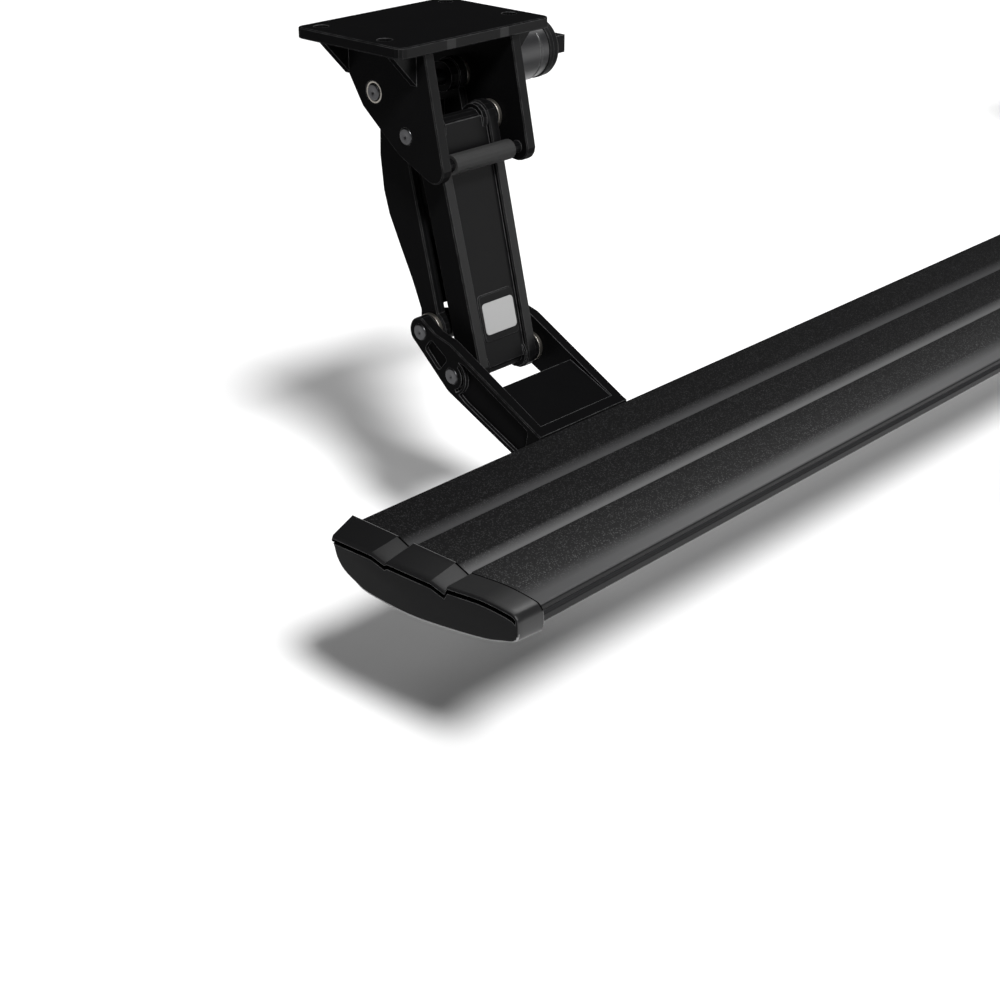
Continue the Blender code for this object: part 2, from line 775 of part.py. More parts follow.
def slot_pocket():
    """The recess between the two pins."""
    outer = BRACKET_OUTER
    length = math.hypot(PIVOT_STEP_Y, PIVOT_STEP_Z)
    along = (PIVOT_STEP_Y / length, PIVOT_STEP_Z / length)
    across = (along[1], -along[0])
    start = PIN_BOSS_R + 0.0010
    end = length - PIN_BOSS_R - 0.0010
    corners = []
    for distance, side in ((start, 0.0075), (end, 0.0060), (end, -0.0050), (start, -0.0065)):
        corners.append((outer[0] + along[0] * distance + across[0] * side,
                        outer[1] + along[1] * distance + across[1] * side, 0.003))
    return rounded(corners)


def pin_ring():
    """The groove round the outboard side of the outer pin."""
    outer = BRACKET_OUTER
    outside = arc(outer, PIN_BOSS_R + 0.0028, 125, 250, 7)
    inside = arc(outer, PIN_BOSS_R + 0.0006, 250, 125, 7)
    return outside + inside


def build_step_bracket():
    place = at(0, BOARD_DATUM)
    body = prism(bracket_outline(), -HALF_OUT, HALF_OUT, chamfer=0.0008)
    bracket = add_part("step_bracket_front", body, black_casting, place, board_axis)
    void = prism(fork_void(), -HALF_FORK, HALF_FORK)
    boolean(bracket, "DIFFERENCE", "fork_void", void, place)
    bay = (FORK_GAP - 2 * RIB_T) / 3
    for index in range(3):
        start = -HALF_FORK + index * (bay + RIB_T)
        boolean(bracket, "DIFFERENCE", f"under_void_{index}", prism(under_void(), start, start + bay),
                place)
    for side, x in (("near", -HALF_OUT), ("far", HALF_OUT)):
        low, high = sorted((x, x - math.copysign(POCKET_DEPTH, x)))
        low -= 0.001 if x < 0 else 0
        high += 0.001 if x > 0 else 0
        for label, outline in (("long", long_pocket()), ("slot", slot_pocket()), ("ring", pin_ring())):
            boolean(bracket, "DIFFERENCE", f"pocket_{label}_{side}", prism(outline, low, high), place)
    for label, pivot in (("inner", BRACKET_INNER), ("outer", BRACKET_OUTER)):
        bore = rod(BORE_R, -HALF_OUT - CUT_PAST, HALF_OUT + CUT_PAST)
        boolean(bracket, "DIFFERENCE", f"bore_{label}", bore, place @ at(0, pivot))
    for x in (-BOLT_SPACING / 2, BOLT_SPACING / 2):
        for centre in SLOT_CENTRES:
            hole = upright_rod(BOLT_HOLE_R, -BELLY - FOOT_T - CUT_PAST, -BELLY + CUT_PAST, SCREW_STEPS)
            boolean(bracket, "DIFFERENCE", "foot_hole", hole, place @ at(x, (centre, 0)))
    return bracket


# Bolts and strip nuts under the board

def strip_mesh():
    low = -BELLY + SLOT_LIP + FIT
    high = low + STRIP_T
    reach = BOLT_SPACING / 2 + STRIP_PAST_BOLT
    body = block((-reach, -STRIP_WIDTH / 2, low), (reach, STRIP_WIDTH / 2, high))
    guide = add_cutter("strip_guide", body)
    for x in (-BOLT_SPACING / 2, BOLT_SPACING / 2):
        hole = upright_rod(BOLT_R + FIT, low - CUT_PAST, high + CUT_PAST, SCREW_STEPS)
        boolean(guide, "DIFFERENCE", "strip_hole", hole, Matrix.Translation((x, 0, 0)))
    return tidy_mesh(evaluated_mesh(guide))


def joined(name, meshes):
    """One closed mesh from several that overlap."""
    guide = add_cutter(name, meshes[0])
    for index, mesh in enumerate(meshes[1:]):
        boolean(guide, "UNION", f"{name}_{index}", mesh)
    return tidy_mesh(evaluated_mesh(guide))


def build_slot_fasteners():
    head_top = -BELLY - 2 * FIT - FOOT_T
    tip = -BELLY + SLOT_LIP + STRIP_T + 0.0015
    shank = upright_rod(BOLT_R, head_top - 0.001, tip, SCREW_STEPS)
    flange = upright_rod(BOLT_HEAD_R + 0.001, head_top - 0.0014, head_top, 16)
    head = upright_rod(BOLT_HEAD_R, head_top - BOLT_HEAD_H, head_top - 0.0012, 6)
    bolt = joined("bolt_guide", [flange, shank, head])
    strip = strip_mesh()
    for label, linkage_x in LINKAGES:
        number = 1
        for slot, centre in zip(("inboard", "outboard"), SLOT_CENTRES):
            point = (BOARD_DATUM[0] + centre, BOARD_DATUM[1])
            add_part(f"strip_nut_{label}_{slot}", strip, zinc, at(linkage_x, point), board_axis)
            for x in (-BOLT_SPACING / 2, BOLT_SPACING / 2):
                add_part(f"bracket_bolt_{label}_{number}", bolt, zinc, at(linkage_x + x, point), board_axis)
                number += 1


# Arms, in a frame on the upper pivot with Z along the arm

def arm_place(x, pivot):
    return at(x, pivot) @ Matrix.Rotation(-LEAN, 4, "X")


def arm_barrels(arm, place, prefix, barrel_end, middle_r, middle_half):
    """Adds the pivot barrels to an arm, then bores them for the pins and bushes."""
    barrel_start = HALF_BARREL - BUSH_LENGTH - BARREL_SHOULDER
    for label, z in (("upper", 0.0), ("lower", -ARM_LENGTH)):
        spot = place @ Matrix.Translation((0, 0, z))
        for side, sign in (("a", -1), ("b", 1)):
            low, high = sorted((sign * barrel_start, sign * barrel_end))
            barrel = rod(BARREL_R, low, high)
            boolean(arm, "UNION", f"{prefix}_barrel_{label}_{side}", barrel, spot, ARM_SOLVER)
        if middle_r:
            tube = rod(middle_r, -middle_half, middle_half)
            boolean(arm, "UNION", f"{prefix}_tube_{label}", tube, spot, ARM_SOLVER)
    for label, z in (("upper", 0.0), ("lower", -ARM_LENGTH)):
        spot = place @ Matrix.Translation((0, 0, z))
        through = rod(BORE_R, -HALF_BARREL - CUT_PAST, HALF_BARREL + CUT_PAST)
        boolean(arm, "DIFFERENCE", f"{prefix}_bore_{label}", through, spot, ARM_SOLVER)
        for side, sign in (("a", -1), ("b", 1)):
            inner = HALF_BARREL - BUSH_LENGTH - FIT
            low, high = sorted((sign * inner, sign * (HALF_BARREL + CUT_PAST)))
            seat = rod(SLEEVE_BORE_R, low, high)
            boolean(arm, "DIFFERENCE", f"{prefix}_seat_{label}_{side}", seat, spot, ARM_SOLVER)


def build_outer_arm():
    """The wide arm with two front flanges and a recessed panel between them."""
    place = arm_place(0, UPPER_OUTER)
    front = -ARM_END_R
    half = OUTER_ARM_WIDTH / 2
    back_angle = math.degrees(math.acos(ARM_BACK / ARM_END_R))
    lower_end = arc((0, -ARM_LENGTH), ARM_END_R, 180, 360 + back_angle, 10)
    upper_end = arc((0, 0), ARM_END_R, -back_angle, 180, 10)
    outline = lower_end + upper_end
    flange = prism(outline, half - FLANGE_WIDTH, half, chamfer=0.0010)
    side = slanted(flange, -ARM_LENGTH, 0, OUTER_ARM_TAPER)
    other = side.copy()
    other.transform(Matrix.Diagonal((-1, 1, 1, 1)))
    other.flip_normals()
    arm = add_part("outer_arm_front", side, black_casting, place, outer_axis_front)
    boolean(arm, "UNION", "outer_arm_side", other, place, ARM_SOLVER)
    panel_front = front + PANEL_RECESS
    panel_half = half - FLANGE_WIDTH / 2
    panel = block((-panel_half, panel_front, -ARM_LENGTH - PANEL_PAST_PIVOT),
                  (panel_half, panel_front + PANEL_T, PANEL_PAST_PIVOT))
    boolean(arm, "UNION", "outer_arm_panel", panel, place, ARM_SOLVER)
    for share in (0.36, 0.68):
        z = -ARM_LENGTH * share
        rib = block((-panel_half, panel_front + 0.001, z - ARM_RIB_T / 2),
                    (panel_half, ARM_BACK - 0.003, z + ARM_RIB_T / 2))
        boolean(arm, "UNION", "outer_arm_rib", rib, place, ARM_SOLVER)
    pad_z = -ARM_LENGTH + PAD_FROM_PIVOT
    pad_edge = 0.0035
    corners = [(sy * PAD_WIDTH / 2, pad_z + sz * PAD_HEIGHT / 2, pad_edge)
               for sy, sz in ((-1, -1), (1, -1), (1, 1), (-1, 1))]
    pad = prism(rounded(corners), -panel_front - 0.001, -panel_front + PAD_RISE, chamfer=0.0005)
    pad.transform(Matrix.Rotation(-math.pi / 2, 4, "Z"))
    boolean(arm, "UNION", "outer_arm_pad", pad, place, ARM_SOLVER)
    arm_barrels(arm, place, "outer_arm", HALF_BARREL, PIN_R + 0.0022, half - FLANGE_WIDTH / 2)
    return arm


def inner_arm_back():
    """The curved back edge of the inner arm, from its lower end up."""
    low = -ARM_LENGTH
    return [(0.0095, low + 0.014), (0.0130, low + 0.036), (0.0190, low + 0.062),
            (INNER_ARM_BELLY - 0.0008, low + 0.086), (INNER_ARM_BELLY, low + 0.104),
            (INNER_ARM_BELLY - 0.0035, low + 0.130), (0.0135, low + 0.158)]


def build_inner_arm():
    """The arm behind, a channel that is open towards the outer arm and deepest at mid length."""
    place = arm_place(0, UPPER_INNER)
    back = inner_arm_back()
    front_angle = math.degrees(math.acos(-INNER_ARM_FRONT / ARM_END_R))
    lower_end = arc((0, -ARM_LENGTH), ARM_END_R, front_angle, 370, 12)
    upper_end = arc((0, 0), ARM_END_R, -10, 360 - front_angle, 12)
    outline = lower_end + back + upper_end
    arm = add_part("inner_arm_front", prism(outline, -HALF_BARREL, HALF_BARREL, chamfer=0.0010),
                   black_casting, place, inner_axis_front)
    inside = [(y - INNER_ARM_BACK_WALL, z) for y, z in back]
    void = [(-0.040, -ARM_LENGTH - 0.040), (0.040, -ARM_LENGTH - 0.040), (0.040, inside[0][1]),
            *inside, (0.040, inside[-1][1]), (0.040, 0.040), (-0.040, 0.040)]
    half = HALF_BARREL - INNER_ARM_SIDE
    boolean(arm, "DIFFERENCE", "inner_arm_void", prism(void, -half, half), place, ARM_SOLVER)
    arm_barrels(arm, place, "inner_arm", HALF_BARREL - INNER_ARM_SIDE / 2, None, None)
    return arm


# Pins and bushes

def pin_mesh(x_end=None):
    start = -HALF_OUT - PIN_STANDS_OUT
    end = x_end or -start
    return rod(PIN_R, start, end, ROUND_STEPS, PIN_CHAMFER)


def bush_mesh(sleeve):
    """A flanged bush. Its flange fills the gap between barrel and cheek, at x = 0 outwards."""
    flange = HALF_FORK - HALF_BARREL - 2 * FIT
    sleeve_r = BORE_R + BUSH_WALL
    profile = [(BORE_R, -sleeve), (sleeve_r, -sleeve), (sleeve_r, 0.0), (BUSH_FLANGE_R, 0.0),
               (BUSH_FLANGE_R, flange), (BORE_R, flange)]
    return turned(profile, BORE_STEPS, closed=True)


def build_pivots():
    """The pins and bushes of both linkages."""
    pin = pin_mesh()
    bush = bush_mesh(BUSH_LENGTH - FIT)
    shaft_bush = bush_mesh(CHEEK)
    half_turn = Matrix.Rotation(math.pi, 4, "Z")
    flange_start = HALF_BARREL + FIT
    for label, x in LINKAGES:
        outer_axis = outer_axis_front if label == "front" else outer_axis_rear
        inner_axis = inner_axis_front if label == "front" else inner_axis_rear
        drives = label == "front"
        pivots = (("lower_inner", LOWER_INNER, inner_axis, board_axis),
                  ("lower_outer", LOWER_OUTER, outer_axis, board_axis),
                  ("upper_outer", UPPER_OUTER, outer_axis, None),
                  ("upper_inner", UPPER_INNER, inner_axis, None))
        for name, pivot, arm_axis, pin_axis in pivots:
            if drives and name == "upper_inner":
                shaft = pin_mesh(GEAR_START + GEAR_WIDTH + 0.001)
                add_part("drive_shaft", shaft, steel, at(x, pivot), inner_axis)
                cheek_face = HALF_FORK - FIT
                add_part("shaft_bush_a", shaft_bush, bronze, at(x - cheek_face, pivot), None)
                add_part("shaft_bush_b", shaft_bush, bronze, at(x + cheek_face, pivot) @ half_turn, None)
                continue
            add_part(f"pin_{name}_{label}", pin, steel, at(x, pivot), pin_axis)
            near = at(x - flange_start, pivot) @ half_turn
            far = at(x + flange_start, pivot)
            add_part(f"bush_{name}_{label}_a", bush, bronze, near, arm_axis)
            add_part(f"bush_{name}_{label}_b", bush, bronze, far, arm_axis)


# Mount brackets

def stop_point():
    """Centre of the stop bar, in front of the outer arm and just under its upper pivot."""
    along = (math.sin(LEAN), math.cos(LEAN))
    outboard = (-math.cos(LEAN), math.sin(LEAN))
    reach = ARM_END_R + FIT + STOP_RUBBER + FIT + STOP_R
    return (UPPER_OUTER[0] - along[0] * STOP_BELOW_PIVOT + outboard[0] * reach,
            UPPER_OUTER[1] - along[1] * STOP_BELOW_PIVOT + outboard[1] * reach)


def ear_points():
    points = []
    for degrees in EAR_ANGLES:
        angle = math.radians(degrees)
        points.append((PINION_AXIS[0] + EAR_RADIUS * math.cos(angle),
                       PINION_AXIS[1] + EAR_RADIUS * math.sin(angle)))
    return points


def cheek_outline(with_motor):
    stop = stop_point()
    circles = [(*UPPER_OUTER, LOBE_R), (*UPPER_INNER, LOBE_R), (*stop, STOP_R + 0.006),
               (-PLATE_OUTBOARD + 0.008, -PLATE_T - 0.001, 0.003),
               (PLATE_INBOARD - 0.012, -PLATE_T - 0.001, 0.003)]
    if with_motor:
        circles += [(*point, EAR_R) for point in ear_points()]
    return hull(circles)


def build_mount_bracket(label, with_motor):
    half_plate = PLATE_WIDTH / 2
    edge = 0.006
    corners = [(-half_plate, -PLATE_OUTBOARD, edge), (half_plate, -PLATE_OUTBOARD, edge),
               (half_plate, PLATE_INBOARD, edge), (-half_plate, PLATE_INBOARD, edge)]
    plate = prism(rounded(corners), -PLATE_T, 0, chamfer=0.0008)
    plate.transform(Matrix(((0, 1, 0, 0), (0, 0, 1, 0), (1, 0, 0, 0), (0, 0, 0, 1))))
    place = at(dict(LINKAGES)[label], (0, 0))
    bracket = add_part(f"mount_bracket_{label}", plate, black_casting, place)
    near = prism(cheek_outline(False), -HALF_OUT, -HALF_FORK, chamfer=0.0008)
    far = prism(cheek_outline(with_motor), HALF_FORK, HALF_OUT, chamfer=0.0008)
    boolean(bracket, "UNION", "cheek_near", near, place)
    boolean(bracket, "UNION", "cheek_far", far, place)
    bar = rod(STOP_R, -HALF_FORK - 0.002, HALF_FORK + 0.002, 16)
    boolean(bracket, "UNION", "stop_bar", bar, place @ at(0, stop_point()))
    gusset_reach = half_plate - 0.006
    outboard_y = -PLATE_OUTBOARD + 0.016
    inboard_y = PLATE_INBOARD - 0.022
    for side, y in ((-1, outboard_y), (1, outboard_y), (-1, inboard_y)):
        gusset = gusset_mesh(side, gusset_reach)
        boolean(bracket, "UNION", "gusset", gusset, place @ at(0, (y, 0)))
    if with_motor:
        for point in ear_points():
            boss = rod(EAR_R - 0.0005, HALF_FORK + 0.002, GEARBOX_START - FIT)
            boolean(bracket, "UNION", "motor_boss", boss, place @ at(0, point))
            hole = rod(MOTOR_SCREW_R + FIT, HALF_FORK - CUT_PAST, GEARBOX_START + CUT_PAST, SCREW_STEPS)
            boolean(bracket, "DIFFERENCE", "motor_hole", hole, place @ at(0, point))
    for pivot in (UPPER_OUTER, UPPER_INNER):
        through = rod(BORE_R, -HALF_OUT - CUT_PAST, HALF_OUT + CUT_PAST)
        if with_motor and pivot is UPPER_INNER:
            through = rod(SLEEVE_BORE_R, -HALF_OUT - CUT_PAST, HALF_OUT + CUT_PAST)
        boolean(bracket, "DIFFERENCE", "cheek_bore", through, place @ at(0, pivot))
    hole_x = half_plate - PLATE_HOLE_EDGE
    for x in (-hole_x, hole_x):
        for y in (-PLATE_OUTBOARD + PLATE_HOLE_EDGE + 0.016, PLATE_INBOARD - PLATE_HOLE_EDGE):
            hole = upright_rod(PLATE_HOLE_R, -PLATE_T - CUT_PAST, CUT_PAST)
            boolean(bracket, "DIFFERENCE", "plate_hole", hole, place @ Matrix.Translation((x, y, 0)))
    return bracket


def gusset_mesh(side, reach):
    """A triangular web between the plate and a cheek's outer face."""
    bm = bmesh.new()
    inner = HALF_OUT - 0.002
    points = ((inner, -PLATE_T + 0.002), (reach, -PLATE_T + 0.002), (reach, -PLATE_T - 0.002),
              (inner, -PLATE_T - GUSSET_HEIGHT))
    vertices = [bm.verts.new((side * x, -GUSSET_T / 2, z)) for x, z in points]
    face = bm.faces.new(vertices)
    result = bmesh.ops.extrude_face_region(bm, geom=[face])
    moved = [item for item in result["geom"] if isinstance(item, bmesh.types.BMVert)]
    bmesh.ops.translate(bm, verts=moved, vec=(0, GUSSET_T, 0))
    bmesh.ops.recalc_face_normals(bm, faces=bm.faces)
    mesh = bpy.data.meshes.new("gusset")
    bm.to_mesh(mesh)
    bm.free()
    return mesh


def build_stops():
    inner = STOP_R + FIT
    outer = inner + STOP_RUBBER
    profile = [(inner, -STOP_LENGTH / 2), (outer, -STOP_LENGTH / 2), (outer, STOP_LENGTH / 2),
               (inner, STOP_LENGTH / 2)]
    sleeve = turned(profile, 16, closed=True)
    for label, x in LINKAGES:
        add_part(f"stop_bumper_{label}", sleeve, rubber, at(x, stop_point()))


# Gears

def involute_flank(base_r, radius):
    """The involute's own angle at a radius."""
    ratio = max(1.0, radius / base_r)
    return math.sqrt(ratio * ratio - 1) - math.acos(1 / ratio)


def tooth(centre_angle, teeth, steps=3):
    """One tooth as (radius, angle) points, from its one root to the other."""
    pitch_r = GEAR_MODULE * teeth / 2
    base_r = pitch_r * math.cos(PRESSURE_ANGLE)
    root_r = pitch_r - 1.25 * GEAR_MODULE
    tip_r = pitch_r + GEAR_MODULE * 0.95
    half_at_pitch = math.pi / (2 * teeth) - BACKLASH / 2 / pitch_r
    start_r = max(root_r + 0.0001, base_r)
    flank = []
    for index in range(steps + 1):
        radius = start_r + (tip_r - start_r) * index / steps
        half = half_at_pitch + involute_flank(base_r, pitch_r) - involute_flank(base_r, radius)
        flank.append((radius, half))
    rising = [(root_r, centre_angle - flank[0][1] - 0.01)]
    rising += [(radius, centre_angle - half) for radius, half in flank]
    falling = [(radius, centre_angle + half) for radius, half in reversed(flank)]
    falling.append((root_r, centre_angle + flank[0][1] + 0.01))
    return rising + falling


def polar(points):
    return [(radius * math.cos(angle), radius * math.sin(angle)) for radius, angle in points]


def sector_outline():
    """The toothed sector. A gap between two teeth faces the pinion at rest."""
    pitch = 2 * math.pi / SECTOR_TEETH
    first = math.ceil((-SWING - SECTOR_MARGIN) / pitch - 0.5)
    last = math.floor(SECTOR_MARGIN / pitch - 0.5)
    points = []
    for index in range(first, last + 1):
        points += tooth(MESH_ANGLE + (index + 0.5) * pitch, SECTOR_TEETH)
    rim = polar(points)
    start = math.degrees(points[-1][1])
    end = math.degrees(points[0][1]) + 360
    hub = arc((0, 0), HUB_R, start + 30, end - 30, 14)
    return rim + hub


def pinion_outline():
    """The pinion. One tooth points back at the drive shaft at rest."""
    pitch = 2 * math.pi / PINION_TEETH
    points = []
    for index in range(PINION_TEETH):
        points += tooth(MESH_ANGLE + math.pi + index * pitch, PINION_TEETH)
    return polar(points)


def build_gears():
    sector = prism(sector_outline(), GEAR_START, GEAR_START + GEAR_WIDTH, holes=[circle((0, 0), BORE_R)])
    add_part("sector_gear", smooth(sector), steel, at(0, UPPER_INNER), inner_axis_front)
    pinion = prism(pinion_outline(), GEAR_START, GEAR_START + GEAR_WIDTH)
    gear = add_part("motor_pinion", pinion, steel, at(0, PINION_AXIS), pinion_axis)
    shaft = rod(PINION_SHAFT_R, GEAR_START + 0.001, GEARBOX_START + 0.012)
    boolean(gear, "UNION", "pinion_shaft", shaft, at(0, PINION_AXIS))


# Motor

def build_motor():
    place = at(0, PINION_AXIS)
    start = GEARBOX_START
    end = start + GEARBOX_LENGTH
    profile = [(0, start), (GEARBOX_R - 0.004, start), (GEARBOX_R - 0.002, start + 0.002),
               (GEARBOX_R, start + 0.004), (GEARBOX_R, start + 0.012), (GEARBOX_R - 0.0015, start + 0.0125),
               (GEARBOX_R - 0.0015, end - 0.008), (GEARBOX_R, end - 0.0075), (GEARBOX_R, end), (0, end)]
    gearbox = add_part("gearbox_housing", turned(profile, FINE_STEPS), grey_casting, place)
    for point in ear_points():
        local = (point[0] - PINION_AXIS[0], point[1] - PINION_AXIS[1])
        ear = prism(hull([(*local, EAR_R), (0, 0, GEARBOX_R * 0.55)], 12), start + 0.0005, start + EAR_T)
        boolean(gearbox, "UNION", "ear", ear, place)
    for point in ear_points():
        hole = rod(MOTOR_SCREW_R + FIT, start - CUT_PAST, start + EAR_T + CUT_PAST, SCREW_STEPS)
        boolean(gearbox, "DIFFERENCE", "ear_hole", hole, at(0, point))
    shaft_hole = rod(PINION_SHAFT_R + FIT, start - 0.002, start + 0.013)
    boolean(gearbox, "DIFFERENCE", "shaft_hole", shaft_hole, place)

    can_start = end + FIT
    can_end = can_start + CAN_LENGTH
    profile = [(0, can_start), (CAN_R - 0.0010, can_start), (CAN_R, can_start + 0.0015),
               (CAN_R, can_end - 0.010), (CAN_R - 0.0010, can_end - 0.0085),
               (CAN_R - 0.0010, can_end), (0, can_end)]
    add_part("motor_can", turned(profile, FINE_STEPS), motor_paint, place)

    cover_start = can_end + FIT
    cover_end = cover_start + COVER_LENGTH
    profile = [(0, cover_start), (CAN_R, cover_start), (CAN_R, cover_end - 0.003),
               (CAN_R - 0.003, cover_end), (0, cover_end)]
    add_part("motor_end_cover", turned(profile, FINE_STEPS), black_plastic, place)

    socket_start = cover_end + FIT
    low = (socket_start, -SOCKET_WIDTH / 2, -SOCKET_HEIGHT / 2)
    high = (socket_start + SOCKET_LENGTH, SOCKET_WIDTH / 2, SOCKET_HEIGHT / 2)
    socket = add_part("motor_socket", block(low, high), black_plastic, place)
    inside_low = (high[0] - SOCKET_DEPTH, low[1] + SOCKET_WALL, low[2] + SOCKET_WALL)
    inside_high = (high[0] + 0.002, high[1] - SOCKET_WALL, high[2] - SOCKET_WALL)
    boolean(socket, "DIFFERENCE", "socket_inside", block(inside_low, inside_high), place)
    latch = block((low[0] + 0.006, -0.003, high[2] - 0.0005), (low[0] + 0.012, 0.003, high[2] + 0.0018))
    boolean(socket, "UNION", "socket_latch", latch, place)

    head_start = start + EAR_T + FIT
    shank = rod(MOTOR_SCREW_R, HALF_FORK + 0.001, head_start + 0.001, SCREW_STEPS)
    head = turned([(0, head_start), (MOTOR_SCREW_HEAD_R, head_start),
                   (MOTOR_SCREW_HEAD_R, head_start + MOTOR_SCREW_HEAD_H - 0.0006),
                   (MOTOR_SCREW_HEAD_R - 0.0006, head_start + MOTOR_SCREW_HEAD_H),
                   (0, head_start + MOTOR_SCREW_HEAD_H)], 16)
    screw = joined("motor_screw_guide", [head, shank])
    for number, point in enumerate(ear_points(), start=1):
        add_part(f"motor_screw_{number}", screw, zinc, at(0, point))


def repeat_on_rear(source, name, carrier):
    """A second copy of a front piece, one linkage spacing along the board."""
    mesh = evaluated_mesh(source)
    bpy.context.view_layer.update()
    place = Matrix.Translation((REAR_LINKAGE_X, 0, 0)) @ source.matrix_world
    add_part(name, mesh, None, place, carrier)


clear_scene()
parts = new_collection("power_running_board")
cutters = new_collection("cutters")
LINKAGES = (("front", 0.0), ("rear", REAR_LINKAGE_X))

black_extrusion = new_material("black_extrusion", (0.020, 0.020, 0.021), 0.55, 0.3)
black_plastic = new_material("black_plastic", (0.022, 0.022, 0.023), 0.50, 0.0)
black_casting = new_material("black_casting", (0.014, 0.014, 0.015), 0.45, 0.3)
grey_casting = new_material("grey_casting", (0.18, 0.18, 0.185), 0.50, 0.8)
motor_paint = new_material("motor_paint", (0.02, 0.02, 0.022), 0.35, 0.3)
steel = new_material("steel", (0.55, 0.55, 0.56), 0.30, 1.0)
zinc = new_material("zinc", (0.45, 0.45, 0.46), 0.38, 1.0)
bronze = new_material("bronze", (0.30, 0.29, 0.27), 0.40, 1.0)
rubber = new_material("rubber", (0.012, 0.012, 0.012), 0.80, 0.0)

inner_axis_front = axis_empty("inner_axis_front", 0.0, UPPER_INNER)
outer_axis_front = axis_empty("outer_axis_front", 0.0, UPPER_OUTER)
inner_axis_rear = axis_empty("inner_axis_rear", REAR_LINKAGE_X, UPPER_INNER)
outer_axis_rear = axis_empty("outer_axis_rear", REAR_LINKAGE_X, UPPER_OUTER)
board_axis = axis_empty("board_axis", 0.0, LOWER_INNER)
pinion_axis = axis_empty("pinion_axis", 0.0, PINION_AXIS)

build_board()
build_caps()
front_bracket = build_step_bracket()
repeat_on_rear(front_bracket, "step_bracket_rear", board_axis)
build_slot_fasteners()
front_outer = build_outer_arm()
repeat_on_rear(front_outer, "outer_arm_rear", outer_axis_rear)
front_inner = build_inner_arm()
repeat_on_rear(front_inner, "inner_arm_rear", inner_axis_rear)
build_pivots()
build_mount_bracket("front", True)
build_mount_bracket("rear", False)
build_stops()
build_gears()
build_motor()
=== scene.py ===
import json
import math

import bmesh
import bpy
from mathutils import Matrix, Vector


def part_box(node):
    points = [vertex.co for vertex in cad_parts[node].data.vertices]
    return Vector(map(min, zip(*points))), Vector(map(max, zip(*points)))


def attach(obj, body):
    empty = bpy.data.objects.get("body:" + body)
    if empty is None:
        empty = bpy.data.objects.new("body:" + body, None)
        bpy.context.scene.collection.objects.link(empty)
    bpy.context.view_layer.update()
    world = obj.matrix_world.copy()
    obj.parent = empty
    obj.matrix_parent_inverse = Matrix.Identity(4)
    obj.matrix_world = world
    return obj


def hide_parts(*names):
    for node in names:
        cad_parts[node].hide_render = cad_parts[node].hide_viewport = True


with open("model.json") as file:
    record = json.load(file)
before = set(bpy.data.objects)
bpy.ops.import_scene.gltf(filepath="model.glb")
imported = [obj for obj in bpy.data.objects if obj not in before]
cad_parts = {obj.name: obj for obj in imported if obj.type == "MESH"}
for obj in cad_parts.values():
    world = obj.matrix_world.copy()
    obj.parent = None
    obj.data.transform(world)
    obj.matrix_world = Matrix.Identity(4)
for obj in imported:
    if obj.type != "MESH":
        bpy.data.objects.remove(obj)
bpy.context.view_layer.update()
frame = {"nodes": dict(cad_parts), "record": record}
print("frame loaded:", len(frame["nodes"]), "solids")


def newObject(name, data):
    item = bpy.data.objects.new(name, data)
    bpy.context.scene.collection.objects.link(item)
    return item


# Camera, at the angle the photograph was taken from
cameraSettings = {
    "place": (-0.9100, -0.9291, 0.2623),
    "right": (0.6861, -0.7275, 0.0),
    "up": (0.3219, 0.3040, 0.8965),
    "lens": 64.8,
    "sensorWidth": 36.0,
    "clip": (0.05, 60.0),
}


def makeCamera(settings):
    data = bpy.data.cameras.new("photoCamera")
    data.lens = settings["lens"]
    data.sensor_width = settings["sensorWidth"]
    data.clip_start, data.clip_end = settings["clip"]
    camera = newObject("photoCamera", data)
    right = Vector(settings["right"]).normalized()
    up = Vector(settings["up"]).normalized()
    back = right.cross(up).normalized()
    turn = Matrix((right, up, back)).transposed().to_4x4()
    camera.matrix_world = Matrix.Translation(settings["place"]) @ turn
    bpy.context.scene.camera = camera


makeCamera(cameraSettings)
bpy.context.scene.view_settings.view_transform = "Standard"
print("camera placed")


# Node helpers for the materials below
def newTree(name):
    material = bpy.data.materials.new(name)
    material.use_nodes = True
    material.node_tree.nodes.clear()
    return material, material.node_tree


def addNode(tree, kind, **values):
    node = tree.nodes.new(kind)
    for key, value in values.items():
        if hasattr(node, key) and key not in node.inputs:
            setattr(node, key, value)
        else:
            node.inputs[key].default_value = value
    return node


def link(tree, source, target):
    tree.links.new(source, target)


def mathNode(tree, operation, *values, clamp=False):
    node = tree.nodes.new("ShaderNodeMath")
    node.operation = operation
    node.use_clamp = clamp
    for index, value in enumerate(values):
        if isinstance(value, (int, float)):
            node.inputs[index].default_value = value
        else:
            tree.links.new(value, node.inputs[index])
    return node.outputs[0]


def rampNode(tree, source, stops):
    node = tree.nodes.new("ShaderNodeValToRGB")
    elements = node.color_ramp.elements
    while len(elements) < len(stops):
        elements.new(0.5)
    for element, (position, level) in zip(elements, stops):
        element.position = position
        element.color = (level, level, level, 1.0)
    tree.links.new(source, node.inputs["Fac"])
    return node.outputs["Color"]


def mixColour(tree, factor, first, second):
    node = tree.nodes.new("ShaderNodeMix")
    node.data_type = "RGBA"
    sockets = (node.inputs[0], node.inputs[6], node.inputs[7])
    for socket, value in zip(sockets, (factor, first, second)):
        if isinstance(value, (int, float)):
            socket.default_value = value
        elif isinstance(value, tuple):
            socket.default_value = (*value, 1.0)
        else:
            tree.links.new(value, socket)
    return node.outputs[2]


def splitVector(tree, source):
    node = tree.nodes.new("ShaderNodeSeparateXYZ")
    link(tree, source, node.inputs[0])
    return node.outputs


# The parts of a face's normal, and of its place
def facingAndPlace(tree):
    coordinates = tree.nodes.new("ShaderNodeTexCoord")
    facing = splitVector(tree, coordinates.outputs["Normal"])
    return facing, splitVector(tree, coordinates.outputs["Object"])


